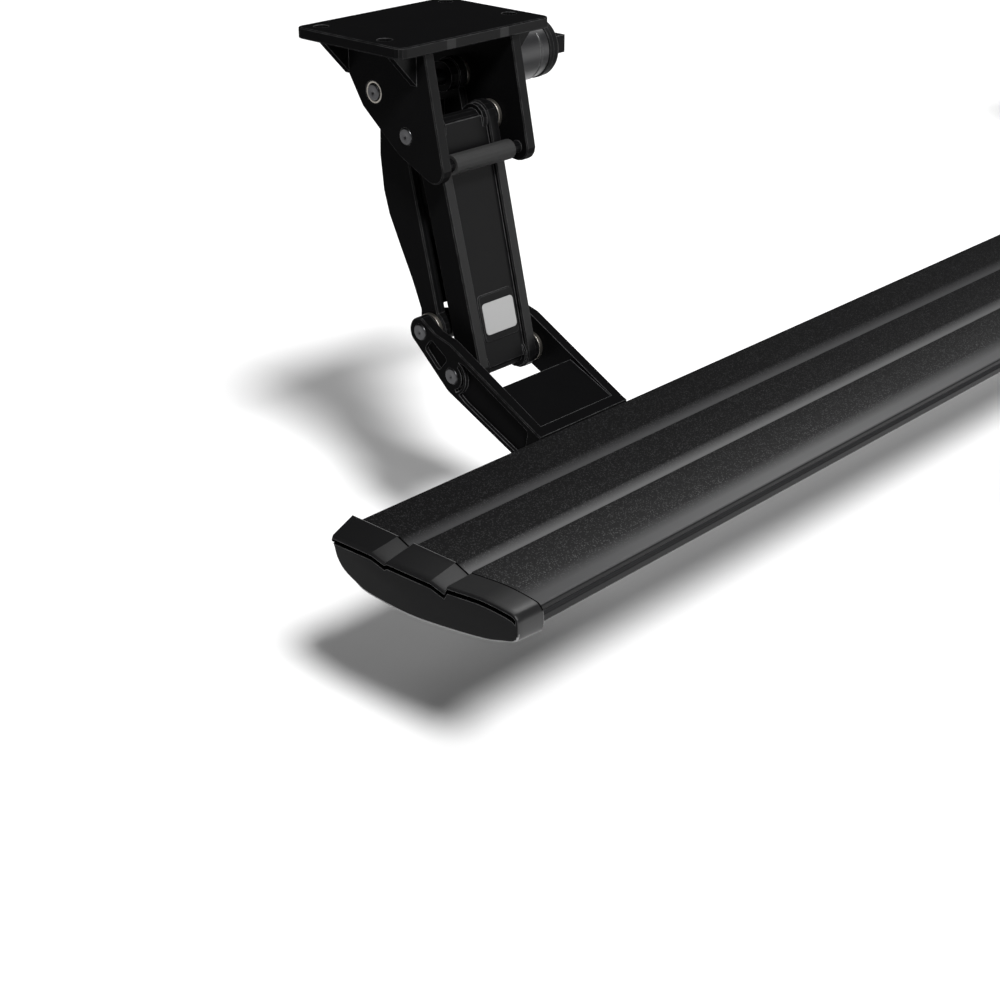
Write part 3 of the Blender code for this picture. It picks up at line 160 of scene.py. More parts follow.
def noiseNode(tree, vector, scale, detail, roughness=0.55):
    node = addNode(tree, "ShaderNodeTexNoise", Detail=detail, Roughness=roughness)
    link(tree, vector, node.inputs["Vector"])
    link(tree, scale, node.inputs["Scale"])
    return node.outputs["Fac"]


def newGroup(name, inputs, outputs):
    tree = bpy.data.node_groups.new(name, "ShaderNodeTree")
    for label, value in inputs:
        socket = tree.interface.new_socket(label, in_out="INPUT", socket_type="NodeSocketFloat")
        socket.default_value = value
    for label in outputs:
        kind = "NodeSocketVector" if label == "Normal" else "NodeSocketFloat"
        tree.interface.new_socket(label, in_out="OUTPUT", socket_type=kind)
    return tree, tree.nodes.new("NodeGroupInput"), tree.nodes.new("NodeGroupOutput")


def placeGroup(tree, group, values):
    node = tree.nodes.new("ShaderNodeGroup")
    node.node_tree = group
    for key, value in values.items():
        node.inputs[key].default_value = value
    return node


# Shared effects, one node group each. The first is wear on edges, which comes in patches, in a
# paler colour that also serves as painted highlight along the edges.
def edgeWearAndHighlightGroup():
    inputs = (("Radius", 0.0006), ("Spread", 12.0), ("Breakup", 140.0))
    tree, given, result = newGroup("edgeWearAndHighlight", inputs, ("Mask", "Normal"))
    bevel = addNode(tree, "ShaderNodeBevel", samples=6)
    link(tree, given.outputs["Radius"], bevel.inputs["Radius"])
    geometry = tree.nodes.new("ShaderNodeNewGeometry")
    dot = addNode(tree, "ShaderNodeVectorMath", operation="DOT_PRODUCT")
    link(tree, bevel.outputs["Normal"], dot.inputs[0])
    link(tree, geometry.outputs["Normal"], dot.inputs[1])
    turned = mathNode(tree, "SUBTRACT", 1.0, dot.outputs["Value"], clamp=True)
    spread = mathNode(tree, "MULTIPLY", turned, given.outputs["Spread"])
    coordinates = tree.nodes.new("ShaderNodeTexCoord")
    noise = noiseNode(tree, coordinates.outputs["Object"], given.outputs["Breakup"], 3.0, 0.6)
    patches = rampNode(tree, noise, ((0.34, 0.25), (0.66, 1.0)))
    mask = mathNode(tree, "MULTIPLY", spread, patches, clamp=True)
    link(tree, mask, result.inputs["Mask"])
    link(tree, bevel.outputs["Normal"], result.inputs["Normal"])
    return tree


def grainGroup():
    inputs = (("Scale", 900.0), ("Blotch Scale", 25.0))
    tree, given, result = newGroup("fineGrain", inputs, ("Grain", "Blotch"))
    coordinates = tree.nodes.new("ShaderNodeTexCoord")
    fine = noiseNode(tree, coordinates.outputs["Object"], given.outputs["Scale"], 2.0)
    broad = noiseNode(tree, coordinates.outputs["Object"], given.outputs["Blotch Scale"], 4.0, 0.6)
    link(tree, fine, result.inputs["Grain"])
    link(tree, broad, result.inputs["Blotch"])
    return tree


# Grains of the anti-slip coat, as a height and as the few grain tops painted pale as glints
def pebbleGroup():
    leastHeight, topFrom = 0.3, 0.55
    inputs = (("Grains Per Metre", 1000.0), ("Glint Share", 0.30))
    tree, given, result = newGroup("pebbleCoat", inputs, ("Height", "Painted Glints"))
    coordinates = tree.nodes.new("ShaderNodeTexCoord")
    cells = tree.nodes.new("ShaderNodeTexVoronoi")
    cells.feature = "F1"
    link(tree, coordinates.outputs["Object"], cells.inputs["Vector"])
    link(tree, given.outputs["Grains Per Metre"], cells.inputs["Scale"])
    dome = mathNode(tree, "SUBTRACT", 1.0, cells.outputs["Distance"], clamp=True)
    chance = tree.nodes.new("ShaderNodeSeparateColor")
    link(tree, cells.outputs["Color"], chance.inputs[0])
    size = mathNode(tree, "MULTIPLY_ADD", chance.outputs[0], 1 - leastHeight, leastHeight)
    dull = mathNode(tree, "SUBTRACT", 1.0, given.outputs["Glint Share"])
    glinting = mathNode(tree, "GREATER_THAN", chance.outputs[1], dull)
    onTop = mathNode(tree, "GREATER_THAN", dome, topFrom)
    link(tree, mathNode(tree, "MULTIPLY", dome, size), result.inputs["Height"])
    link(tree, mathNode(tree, "MULTIPLY", glinting, onTop), result.inputs["Painted Glints"])
    return tree


# Fine rings that a lathe leaves, or straight lines from drawing through a die
def toolMarkGroup():
    inputs = (("Scale", 900.0), ("Along X", 0.0))
    tree, given, result = newGroup("toolMarks", inputs, ("Marks",))
    place = splitVector(tree, tree.nodes.new("ShaderNodeTexCoord").outputs["Object"])
    joined = tree.nodes.new("ShaderNodeCombineXYZ")
    along = mathNode(tree, "MULTIPLY", place[0], given.outputs["Along X"])
    for source, target in zip((along, place[1], place[2]), joined.inputs):
        link(tree, source, target)
    lines = noiseNode(tree, joined.outputs[0], given.outputs["Scale"], 2.0, 0.7)
    link(tree, lines, result.inputs["Marks"])
    return tree


edgeWearAndHighlight = edgeWearAndHighlightGroup()
fineGrain = grainGroup()
pebbleCoat = pebbleGroup()
toolMarks = toolMarkGroup()


def variedColour(tree, blotch, colour, spread):
    dark = tuple(channel * (1 - spread) for channel in colour)
    light = tuple(channel * (1 + spread) for channel in colour)
    return mixColour(tree, blotch, dark, light)


def variedRoughness(tree, blotch, middle, spread):
    return mathNode(tree, "MULTIPLY_ADD", blotch, spread, middle - spread / 2)


# Grain and blotches over a surface, and the wear and painted highlight on its edges
def grainWearAndHighlight(tree, look):
    scales = {"Scale": look["grainScale"], "Blotch Scale": look["blotchScale"]}
    edges = {"Radius": look["edgeRadius"], "Spread": look["edgeSpread"]}
    grain = placeGroup(tree, fineGrain, scales)
    return grain.outputs["Grain"], grain.outputs["Blotch"], placeGroup(tree, edgeWearAndHighlight, edges)


def finishSurface(tree, shader, height, distance, wearAndHighlight):
    bump = addNode(tree, "ShaderNodeBump", Strength=1.0, Distance=distance)
    link(tree, height, bump.inputs["Height"])
    link(tree, wearAndHighlight.outputs["Normal"], bump.inputs["Normal"])
    link(tree, bump.outputs["Normal"], shader.inputs["Normal"])
    output = tree.nodes.new("ShaderNodeOutputMaterial")
    link(tree, shader.outputs["BSDF"], output.inputs["Surface"])


# A mask that rises in a straight line with the distance outboard
def outboardMask(tree, place, rise, start):
    return mathNode(tree, "MULTIPLY_ADD", place[1], -rise, start, clamp=True)


# Moulded plastic shines on all but its end faces, less on flat tops than on the outboard crest
def mouldedCoat(tree, look, facing, place):
    side = mathNode(tree, "LESS_THAN", mathNode(tree, "ABSOLUTE", facing[0]), look["endTurn"])
    flatFrom, flatTo = look["flatTurn"]
    notFlat = rampNode(tree, facing[2], ((flatFrom, 1.0), (flatTo, look["coatOnFlats"])))
    crest = outboardMask(tree, place, look["crestRise"], look["crestStart"])
    glossy = mathNode(tree, "MULTIPLY", side, mathNode(tree, "MAXIMUM", notFlat, crest))
    outward = outboardMask(tree, place, look["coatRise"], look["coatStart"])
    return mathNode(tree, "MULTIPLY", glossy, outward)


# Castings shine on outboard and inboard faces, most on the arms' flanges, and not on slopes
def castCoat(tree, look, facing, place):
    upright = mathNode(tree, "LESS_THAN", facing[2], look["uprightTurn"])
    across = mathNode(tree, "MULTIPLY", mathNode(tree, "ABSOLUTE", facing[1]), upright)
    fromMiddle = mathNode(tree, "PINGPONG", place[0], look["linkageApart"] / 2)
    past = mathNode(tree, "GREATER_THAN", fromMiddle, look["flangeFrom"])
    within = mathNode(tree, "LESS_THAN", fromMiddle, look["flangeTo"])
    flange = mathNode(tree, "MULTIPLY", past, within)
    gain = mathNode(tree, "MULTIPLY_ADD", flange, look["flangeGain"], 1.0)
    tilt = mathNode(tree, "ABSOLUTE", facing[2])
    steep = mathNode(tree, "SUBTRACT", look["steepTurn"], tilt, clamp=True)
    level = mathNode(tree, "GREATER_THAN", facing[2], look["levelTurn"])
    onLevel = mathNode(tree, "MULTIPLY", level, look["coatOnFlats"])
    glossy = mathNode(tree, "MAXIMUM", mathNode(tree, "MULTIPLY", across, gain), steep)
    return mathNode(tree, "MAXIMUM", glossy, onLevel)


# What the finishes share. The turns are parts of a face's normal.
sharedLook = {
    "metallic": 0.0,
    "specular": 0.5,
    "colourSpread": 0.16,
    "blotchScale": 25.0,
    "roughnessSpread": 0.14,
    "markShare": 2.0,
    "endTurn": 0.85,
    "flatTurn": (0.955, 0.988),
    "flatColourTurn": (0.955, 0.985),
    "uprightTurn": 0.45,
    "levelTurn": 0.97,
    "steepTurn": 0.12,
}


def finishedMaterial(name, ownLook):
    look = {**sharedLook, **ownLook}
    material, tree = newTree(name)
    shader = tree.nodes.new("ShaderNodeBsdfPrincipled")
    shader.inputs["Metallic"].default_value = look["metallic"]
    shader.inputs["Specular IOR Level"].default_value = look["specular"]
    grain, blotch, wearAndHighlight = grainWearAndHighlight(tree, look)
    base = variedColour(tree, blotch, look["colour"], look["colourSpread"])
    if "coat" in look:
        facing, place = facingAndPlace(tree)
        coatMask = castCoat if look["coatOn"] == "castings" else mouldedCoat
        coat = mathNode(tree, "MULTIPLY", coatMask(tree, look, facing, place), look["coat"])
        link(tree, coat, shader.inputs["Coat Weight"])
        shader.inputs["Coat Roughness"].default_value = look["coatRoughness"]
    # Flat tops painted lighter, more so outboard: painted light
    if "flatColour" in look:
        flatFrom, flatTo = look["flatColourTurn"]
        flat = rampNode(tree, facing[2], ((flatFrom, 0.0), (flatTo, 1.0)))
        paintedLightOutboard = outboardMask(tree, place, look["flatRise"], look["flatStart"])
        base = mixColour(tree, mathNode(tree, "MULTIPLY", flat, paintedLightOutboard), base, look["flatColour"])
    # Edges paler in patches: wear, and painted highlight
    withWearAndHighlight = mixColour(tree, wearAndHighlight.outputs["Mask"], base, look["edgeColour"])
    link(tree, withWearAndHighlight, shader.inputs["Base Color"])
    roughness = variedRoughness(tree, blotch, look["roughness"], look["roughnessSpread"])
    link(tree, roughness, shader.inputs["Roughness"])
    height = grain
    if "toolMarks" in look:
        marks = placeGroup(tree, toolMarks, {"Scale": look["toolMarks"]})
        height = mathNode(tree, "MULTIPLY_ADD", marks.outputs["Marks"], look["markShare"], grain)
    finishSurface(tree, shader, height, look["grainHeight"], wearAndHighlight)
    return material


# Finishes. Heights and radii are in metres, scales in grains per metre. The edge colour is paler
# for wear and as painted highlight along edges.
finishes = {
    "blackCasting": {
        "colour": (0.0034, 0.0034, 0.0036), "edgeColour": (0.110, 0.110, 0.112),
        "roughness": 0.60, "specular": 0.0, "grainScale": 950.0, "grainHeight": 0.00006,
        "edgeRadius": 0.0009, "edgeSpread": 5.0, "coatOn": "castings", "coat": 0.23,
        "coatRoughness": 0.36, "coatOnFlats": 0.30, "linkageApart": 1.456,
        "flangeFrom": 0.0222, "flangeTo": 0.0309, "flangeGain": 1.3,
    },
    "blackPlastic": {
        "colour": (0.0062, 0.0062, 0.0065), "edgeColour": (0.16, 0.16, 0.162),
        "roughness": 0.50, "specular": 0.05, "grainScale": 1700.0, "grainHeight": 0.00005,
        "edgeRadius": 0.0010, "edgeSpread": 4.0, "coatOn": "mouldings", "coat": 1.0,
        "coatRoughness": 0.30, "coatOnFlats": 0.22, "coatStart": -1.70, "coatRise": 10.4,
        # The flat colour is painted light on flat tops, rising outboard
        "crestStart": -16.8, "crestRise": 60.0, "flatColour": (0.018, 0.018, 0.0183),
        "flatStart": -2.7, "flatRise": 14.0,
    },
    # Near-black painted shade for the cap's groove and joint lines
    "paintedGapShade": {
        "colour": (0.0012, 0.0012, 0.0012), "edgeColour": (0.0014, 0.0014, 0.0014),
        "roughness": 0.90, "specular": 0.0, "grainScale": 1700.0, "grainHeight": 0.00002,
        "edgeRadius": 0.0003, "edgeSpread": 1.0,
    },
    # Pale painted highlight for the cap's rims
    "paintedHighlightRim": {
        "colour": (0.20, 0.20, 0.20), "edgeColour": (0.26, 0.26, 0.26),
        "roughness": 0.40, "specular": 0.30, "grainScale": 1700.0, "grainHeight": 0.00003,
        "edgeRadius": 0.0004, "edgeSpread": 3.0, "colourSpread": 0.35, "blotchScale": 160.0,
    },
    "greyCasting": {
        "colour": (0.30, 0.30, 0.305), "edgeColour": (0.60, 0.60, 0.60),
        "roughness": 0.48, "metallic": 0.9, "grainScale": 900.0, "grainHeight": 0.00010,
        "edgeRadius": 0.0006, "edgeSpread": 10.0,
    },
    "motorPaint": {
        "colour": (0.014, 0.014, 0.015), "edgeColour": (0.20, 0.20, 0.20),
        "roughness": 0.33, "grainScale": 1500.0, "grainHeight": 0.00002,
        "edgeRadius": 0.0005, "edgeSpread": 6.0,
    },
    "turnedSteel": {
        "colour": (0.070, 0.070, 0.073), "edgeColour": (0.30, 0.30, 0.30),
        "roughness": 0.32, "metallic": 1.0, "grainScale": 2500.0, "grainHeight": 0.00001,
        "edgeRadius": 0.0003, "edgeSpread": 5.0, "toolMarks": 1800.0,
    },
    "zincPlate": {
        "colour": (0.50, 0.50, 0.49), "edgeColour": (0.72, 0.72, 0.72),
        "roughness": 0.36, "metallic": 1.0, "grainScale": 1400.0, "grainHeight": 0.00002,
        "edgeRadius": 0.0004, "edgeSpread": 6.0,
    },
    "bushBronze": {
        "colour": (0.33, 0.31, 0.28), "edgeColour": (0.55, 0.53, 0.49),
        "roughness": 0.40, "metallic": 1.0, "grainScale": 1400.0, "grainHeight": 0.00003,
        "edgeRadius": 0.0003, "edgeSpread": 6.0, "toolMarks": 1300.0,
    },
    "softRubber": {
        "colour": (0.012, 0.012, 0.012), "edgeColour": (0.030, 0.030, 0.030),
        "roughness": 0.75, "grainScale": 800.0, "grainHeight": 0.00006,
        "edgeRadius": 0.0006, "edgeSpread": 6.0,
    },
    "paleLabel": {
        "colour": (0.30, 0.30, 0.30), "edgeColour": (0.22, 0.22, 0.22),
        "roughness": 0.38, "grainScale": 1600.0, "grainHeight": 0.00001,
        "edgeRadius": 0.0002, "edgeSpread": 3.0, "colourSpread": 0.04,
    },
}
made = {name: finishedMaterial(name, look) for name, look in finishes.items()}


# The board's coat: grains on the three treads, smooth on the bands, the nose and the side.
# A share is the distance from the inboard edge as part of the width.
boardFinish = {
    "edgeY": -0.15514,
    "width": 0.158,
    "treads": ((0.0, 0.236, 0.050), (0.326, 0.556, 0.050), (0.6418, 0.858, 0.080)),
    "treadEdge": 0.002,
    "treadTurn": 0.88,
    "sideTurn": -0.7,
    # Tread colours go from painted shade inboard to painted light outboard
    "shadedTreadColour": (0.0045, 0.0045, 0.0047),
    "litTreadColour": (0.020, 0.020, 0.0203),
    # Colours of the painted glints on grain tops, shaded inboard and lit outboard
    "shadedGlintColour": (0.026, 0.026, 0.027),
    "litGlintColour": (0.070, 0.070, 0.071),
    "smoothColour": (0.020, 0.020, 0.021),
    "smoothSpread": 0.15,
    # Darker colour for faces turned outboard: painted shade
    "paintedShadeSideColour": (0.009, 0.009, 0.0093),
    "edgeColour": (0.060, 0.060, 0.061),
    "edgeRadius": 0.0007,
    "edgeSpread": 2.5,
    "specular": 0.05,
    "coatByShare": ((0.0, 0.10), (0.30, 0.18), (0.60, 0.80), (0.90, 0.85), (0.982, 1.0),
                    (0.990, 0.22)),
    "paintedTreadLightByShare": ((0.0, 0.0), (0.35, 0.12), (0.60, 0.35), (0.85, 1.0)),
    "coatRoughness": 0.36,
    "treadRoughness": 0.75,
    "smoothRoughness": 0.42,
    "roughnessSpread": 0.10,
    "pebbleHeight": 0.00022,
    "grainHeight": 0.00005,
    "grainScale": 1300.0,
    "blotchScale": 14.0,
    "dieMarks": 700.0,
    "dieStretch": 0.004,
    "markShare": 0.6,
    "grainsPerMetre": 1150.0,
    "glintShare": 0.28,
}


def boardMaterial(look):
    material, tree = newTree("blackExtrusion")
    shader = tree.nodes.new("ShaderNodeBsdfPrincipled")
    shader.inputs["Specular IOR Level"].default_value = look["specular"]
    shader.inputs["Coat Roughness"].default_value = look["coatRoughness"]
    pebbles = placeGroup(tree, pebbleCoat, {"Grains Per Metre": look["grainsPerMetre"],
                                            "Glint Share": look["glintShare"]})
    grain, blotch, wearAndHighlight = grainWearAndHighlight(tree, look)
    marks = placeGroup(tree, toolMarks, {"Scale": look["dieMarks"], "Along X": look["dieStretch"]})
    facing, place = facingAndPlace(tree)
    across = mathNode(tree, "SUBTRACT", look["edgeY"], place[1])
    share = mathNode(tree, "DIVIDE", across, look["width"])
    stops = []
    for start, end, fade in look["treads"]:
        before = max(0.0, start - look["treadEdge"])
        stops += [(before, 0.0), (start, 1.0), (end, 1.0), (end + fade, 0.0)]
    onTread = rampNode(tree, share, stops[1:])
    upward = mathNode(tree, "GREATER_THAN", facing[2], look["treadTurn"])
    treadMask = mathNode(tree, "MULTIPLY", onTread, upward)
    # Treads painted darker inboard and lighter outboard, as shade and light
    paintedLightHere = rampNode(tree, share, look["paintedTreadLightByShare"])
    ground = mixColour(tree, paintedLightHere, look["shadedTreadColour"], look["litTreadColour"])
    # Painted glints on the grain tops
    glintsHere = mixColour(tree, paintedLightHere, look["shadedGlintColour"], look["litGlintColour"])
    withGlints = mixColour(tree, pebbles.outputs["Painted Glints"], ground, glintsHere)
    smooth = variedColour(tree, blotch, look["smoothColour"], look["smoothSpread"])
    base = mixColour(tree, treadMask, smooth, withGlints)
    # Faces turned outboard are painted darker, as painted shade
    shadedSide = mathNode(tree, "LESS_THAN", facing[1], look["sideTurn"])
    base = mixColour(tree, shadedSide, base, look["paintedShadeSideColour"])
    # Edges paler in patches: wear, and painted highlight
    withWearAndHighlight = mixColour(tree, wearAndHighlight.outputs["Mask"], base, look["edgeColour"])
    link(tree, withWearAndHighlight, shader.inputs["Base Color"])
    smoothRough = variedRoughness(tree, blotch, look["smoothRoughness"], look["roughnessSpread"])
    rise = mathNode(tree, "SUBTRACT", look["treadRoughness"], smoothRough)
    roughness = mathNode(tree, "MULTIPLY_ADD", treadMask, rise, smoothRough)
    link(tree, roughness, shader.inputs["Roughness"])
    coatHere = rampNode(tree, share, look["coatByShare"])
    coated = mathNode(tree, "MULTIPLY", mathNode(tree, "SUBTRACT", 1.0, treadMask), coatHere)
    link(tree, coated, shader.inputs["Coat Weight"])
    marked = mathNode(tree, "MULTIPLY_ADD", marks.outputs["Marks"], look["markShare"], grain)
    smoothHeight = mathNode(tree, "MULTIPLY", marked, look["grainHeight"])
    pebbleHeight = mathNode(tree, "MULTIPLY", pebbles.outputs["Height"], look["pebbleHeight"])
    difference = mathNode(tree, "SUBTRACT", pebbleHeight, smoothHeight)
    height = mathNode(tree, "MULTIPLY_ADD", treadMask, difference, smoothHeight)
    finishSurface(tree, shader, height, 1.0, wearAndHighlight)
    return material


made["blackExtrusion"] = boardMaterial(boardFinish)

finishOf = {
    "black_casting": made["blackCasting"],
    "black_plastic": made["blackPlastic"],
    "black_extrusion": made["blackExtrusion"],
    "grey_casting": made["greyCasting"],
    "motor_paint": made["motorPaint"],
    "steel": made["turnedSteel"],
    "zinc": made["zincPlate"],
    "bronze": made["bushBronze"],
    "rubber": made["softRubber"],
}
slotOf = {row["node"]: row["material_slot"] for row in frame["record"]["subparts"]}
for name, node in frame["nodes"].items():
    node.data.materials.clear()
    node.data.materials.append(finishOf[slotOf[name]])
print("materials made")


# Mesh helpers for the pieces below
def meshFrom(name, points, faces):
    mesh = bpy.data.meshes.new(name)
    mesh.from_pydata(points, [], faces)
    bm = bmesh.new()
    bm.from_mesh(mesh)
    bmesh.ops.recalc_face_normals(bm, faces=bm.faces)
    bm.to_mesh(mesh)
    bm.free()
    return mesh


def shadeByAngle(mesh, degrees=30):
    mesh.shade_smooth()
    mesh.set_sharp_from_angle(angle=math.radians(degrees))


# A profile of (radius, x) points turned about X. Radius zero makes a pole.
def turnedMesh(name, profile, steps, closed=False):
    points = []
    rings = []
    for radius, x in profile:
        if radius == 0:
            rings.append([len(points)])
            points.append((x, 0.0, 0.0))
            continue
        ring = []
        for step in range(steps):
            angle = 2 * math.pi * step / steps
            ring.append(len(points))
            points.append((x, radius * math.cos(angle), radius * math.sin(angle)))
        rings.append(ring)
    faces = []
    pairs = list(zip(rings, rings[1:]))
    if closed:
        pairs.append((rings[-1], rings[0]))
    for first, second in pairs:
        for step in range(steps):
            after = (step + 1) % steps
            face = [first[step % len(first)], first[after % len(first)],
                    second[after % len(second)], second[step % len(second)]]
            faces.append(list(dict.fromkeys(face)))
    return meshFrom(name, points, faces)


# Rows of points of equal count, skinned one after another, with flat ends
def loftedMesh(name, rings):
    points = [point for ring in rings for point in ring]
    count = len(rings[0])
    faces = []
    for row in range(len(rings) - 1):
        for index in range(count):
            after = (index + 1) % count
            faces.append((row * count + index, row * count + after,
                          (row + 1) * count + after, (row + 1) * count + index))
    faces.append(tuple(range(count)))
    faces.append(tuple(range((len(rings) - 1) * count, len(rings) * count)))
    return meshFrom(name, points, faces)


# A piece takes its slot's finish, unless it is given another
def addPiece(name, mesh, slotName, body, replaced=(), finish=None):
    mesh.materials.clear()
    mesh.materials.append(finish or finishOf[slotName])
    piece = newObject(name, mesh)
    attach(piece, body)
    if replaced:
        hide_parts(*replaced)


# Copies one piece onto many spots. A spot carries a place and a turn.
def repeatTree():
    tree = bpy.data.node_groups.new("repeatPiece", "GeometryNodeTree")
    kinds = {"Spots": "Geometry", "Piece": "Object", "Size": "Float", "Finish": "Material"}
    for label, kind in kinds.items():
        tree.interface.new_socket(label, in_out="INPUT", socket_type="NodeSocket" + kind)
    tree.interface.new_socket("Pieces", in_out="OUTPUT", socket_type="NodeSocketGeometry")
    given = tree.nodes.new("NodeGroupInput")
    result = tree.nodes.new("NodeGroupOutput")
    info = tree.nodes.new("GeometryNodeObjectInfo")
    turn = tree.nodes.new("GeometryNodeInputNamedAttribute")
    turn.data_type = "FLOAT_VECTOR"
    turn.inputs["Name"].default_value = "turn"
    place = tree.nodes.new("GeometryNodeInstanceOnPoints")
    realize = tree.nodes.new("GeometryNodeRealizeInstances")
    paint = tree.nodes.new("GeometryNodeSetMaterial")
    for source, output, target, entry in (
            (given, "Spots", place, "Points"), (given, "Piece", info, "Object"),
            (info, "Geometry", place, "Instance"), (turn, "Attribute", place, "Rotation"),
            (given, "Size", place, "Scale"), (place, "Instances", realize, "Geometry"),
            (realize, "Geometry", paint, "Geometry"), (given, "Finish", paint, "Material"),
            (paint, "Geometry", result, "Pieces")):
        link(tree, source.outputs[output], target.inputs[entry])
    return tree


repeatPiece = repeatTree()
socketOf = {item.name: item.identifier for item in repeatPiece.interface.items_tree
            if item.in_out == "INPUT"}


# An object's mesh as its modifier leaves it
def evaluatedMesh(item):
    bpy.context.view_layer.update()
    graph = bpy.context.evaluated_depsgraph_get()
    return bpy.data.meshes.new_from_object(item.evaluated_get(graph), depsgraph=graph)


def repeatedMesh(name, source, spots, material, size=1.0):
    holder = newObject("sourcePiece", source)
    points = bpy.data.meshes.new("spots")
    points.from_pydata([place for place, _ in spots], [], [])
    turns = points.attributes.new("turn", "FLOAT_VECTOR", "POINT")
    for index, (_, turn) in enumerate(spots):
        turns.data[index].vector = turn
    guide = newObject("spots", points)
    modifier = guide.modifiers.new("repeat", "NODES")
    modifier.node_group = repeatPiece
    modifier[socketOf["Piece"]] = holder
    modifier[socketOf["Size"]] = size
    modifier[socketOf["Finish"]] = material
    mesh = evaluatedMesh(guide)
    mesh.name = name
    guide.modifiers.remove(modifier)
    bpy.data.objects.remove(guide)
    bpy.data.objects.remove(holder)
    if "turn" in mesh.attributes:
        mesh.attributes.remove(mesh.attributes["turn"])
    return mesh


def addCopies(name, source, spots, slotName, body, replaced=()):
    mesh = repeatedMesh(name, source, spots, finishOf[slotName])
    addPiece(name, mesh, slotName, body, replaced)


straight = (0.0, 0.0, 0.0)  # the turn of a copy that stands as its source was made


# A solid's low corner, its middle and its high corner
def spanOf(node):
    low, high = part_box(node)
    return low, (low + high) / 2, high


# End caps, moulded in one piece and pushed into the board
endCaps = {
    "boardEdge": (-0.15514, -0.26170),
    "ends": {"end_cap_front": (-0.222, 1), "end_cap_rear": (1.678, -1)},
    "length": 0.026,
    "width": 0.158,
    "sweep": 0.005,
    "fit": 0.0003,
    "proud": 0.0025,
    "edge": 0.0014,
    "rimEdge": 0.0009,
    "joint": 0.0021,
    "tread": 0.038,
    "band": 0.0127,
    "drop": 0.0045,
    "belly": 0.034,
    "middleZ": -0.015,
    "crispPoints": 7,
    "curveSteps": 4,
    "grooveSpan": (1, 24),
    "grooveBelow": 0.0006,
    "lineHeight": 0.0030,
    "lineDepth": 0.0034,
    "topAbove": -0.006,
    "sharpAngle": 26,
}


# The cap's section at its open end, or at its front, where the top falls away towards the end face
def capSection(look, front):
    inset = 1.0 if front else 0.0
    first = look["proud"] - 0.003 * inset
    second = first - 0.0015 * inset
    crest = look["proud"] - 0.0008 * inset
    inboard = 0.006 - 0.008 * inset
    groove = look["drop"] - 0.0015 * inset
    deep = look["belly"] - 0.0005 * inset
    stepTwo = look["tread"] + look["band"]
    stepThree = 2 * stepTwo
    out = look["width"] + 0.0030 - 0.002 * inset
    third = out - stepThree
    return [
        (inboard, first - 0.003), (inboard - 0.0012, first), (-look["tread"], first),
        (-stepTwo + 0.0012, first - groove), (-stepTwo - 0.0010, second),
        (-stepTwo - look["tread"], second), (-stepThree + 0.0012, second - groove),
        (-stepThree - 0.0012, crest - 0.0022), (-stepThree - 0.45 * third, crest),
        (-out + 0.31 * third, crest - 0.0002), (-out + 0.10 * third, crest - 0.0014),
        (-out + 0.0020, crest - 0.0034), (-out, crest - 0.0070), (-out, -0.0140),
        (-out + 0.0025, -0.0182), (-0.930 * out, -0.0212), (-0.840 * out, -0.76 * deep),
        (-0.640 * out, -0.91 * deep), (-0.430 * out, -deep), (-0.215 * out, -0.93 * deep),
        (-0.140 * out, -0.80 * deep), (-0.077 * out, -0.64 * deep), (-0.042 * out, -0.43 * deep),
        (inboard - 0.0020, -0.18 * deep),
    ]


# Points between the soft corners of an outline, on a curve through its neighbours
def softened(points, start, steps):
    result = list(points[:start])
    count = len(points)
    for index in range(start, count):
        before, here = points[index - 1], points[index]
        after, beyond = points[(index + 1) % count], points[(index + 2) % count]
        if index == start:
            before = here
        if index == count - 1:
            beyond = after
        for step in range(steps):
            t = step / steps
            result.append(tuple(
                0.5 * (2 * b + (c - a) * t + (2 * a - 5 * b + 4 * c - d) * t * t
                       + (3 * b - a - 3 * c + d) * t ** 3)
                for a, b, c, d in zip(before, here, after, beyond)))
    return result


def capOutline(look, front):
    return softened(capSection(look, front), look["crispPoints"], look["curveSteps"])


def capRing(look, share, along, inset):
    middleY, middleZ = -look["width"] / 2, look["middleZ"]
    ring = []
    for (rearY, rearZ), (frontY, frontZ) in zip(capOutline(look, False), capOutline(look, True)):
        y = rearY + (frontY - rearY) * share
        z = rearZ + (frontZ - rearZ) * share
        y = middleY + (y - middleY) * (1 + inset / middleY)
        z = middleZ + (z - middleZ) * (1 + inset / middleZ)
        x = -along + look["sweep"] * (along / look["length"]) * (-y / look["width"])
        ring.append((x, y, z))
    return ring


# Rings from the rim's rounded edge at the joint to the rounded edge of the end face
def capMesh(look):
    length, edge, rim, fit = look["length"], look["edge"], look["rimEdge"], look["fit"]
    rings = [capRing(look, 0.0, fit, rim), capRing(look, 0.0, fit + rim * 0.3, rim * 0.3),
             capRing(look, 0.02, fit + rim, 0.0)]
    for share in (look["joint"] / length, 0.2, 0.4, 0.6, 0.8):
        rings.append(capRing(look, share, share * length, 0.0))
    for step in range(5):
        angle = math.pi / 2 * step / 4
        along = length - edge + edge * math.sin(angle)
        share = min(1.0, 0.95 + 0.05 * step / 2)
        rings.append(capRing(look, share, along, edge * (1 - math.cos(angle))))
    return loftedMesh("capBody", rings)


# The groove that makes the shadow under the end face's top edge
def capGroove(look):
    first, last = look["grooveSpan"]
    top = capOutline(look, True)[first:last]
    upper = [(y, z - look["edge"] - look["grooveBelow"]) for y, z in top]
    lower = [(y, z - look["lineHeight"]) for y, z in upper]
    outline = upper + lower[::-1]
    rings = []
    for along in (look["length"] + 0.002, look["length"] - look["lineDepth"]):
        rings.append([(-along + look["sweep"] * (-y / look["width"]), y, z) for y, z in outline])
    return loftedMesh("capGroove", rings)


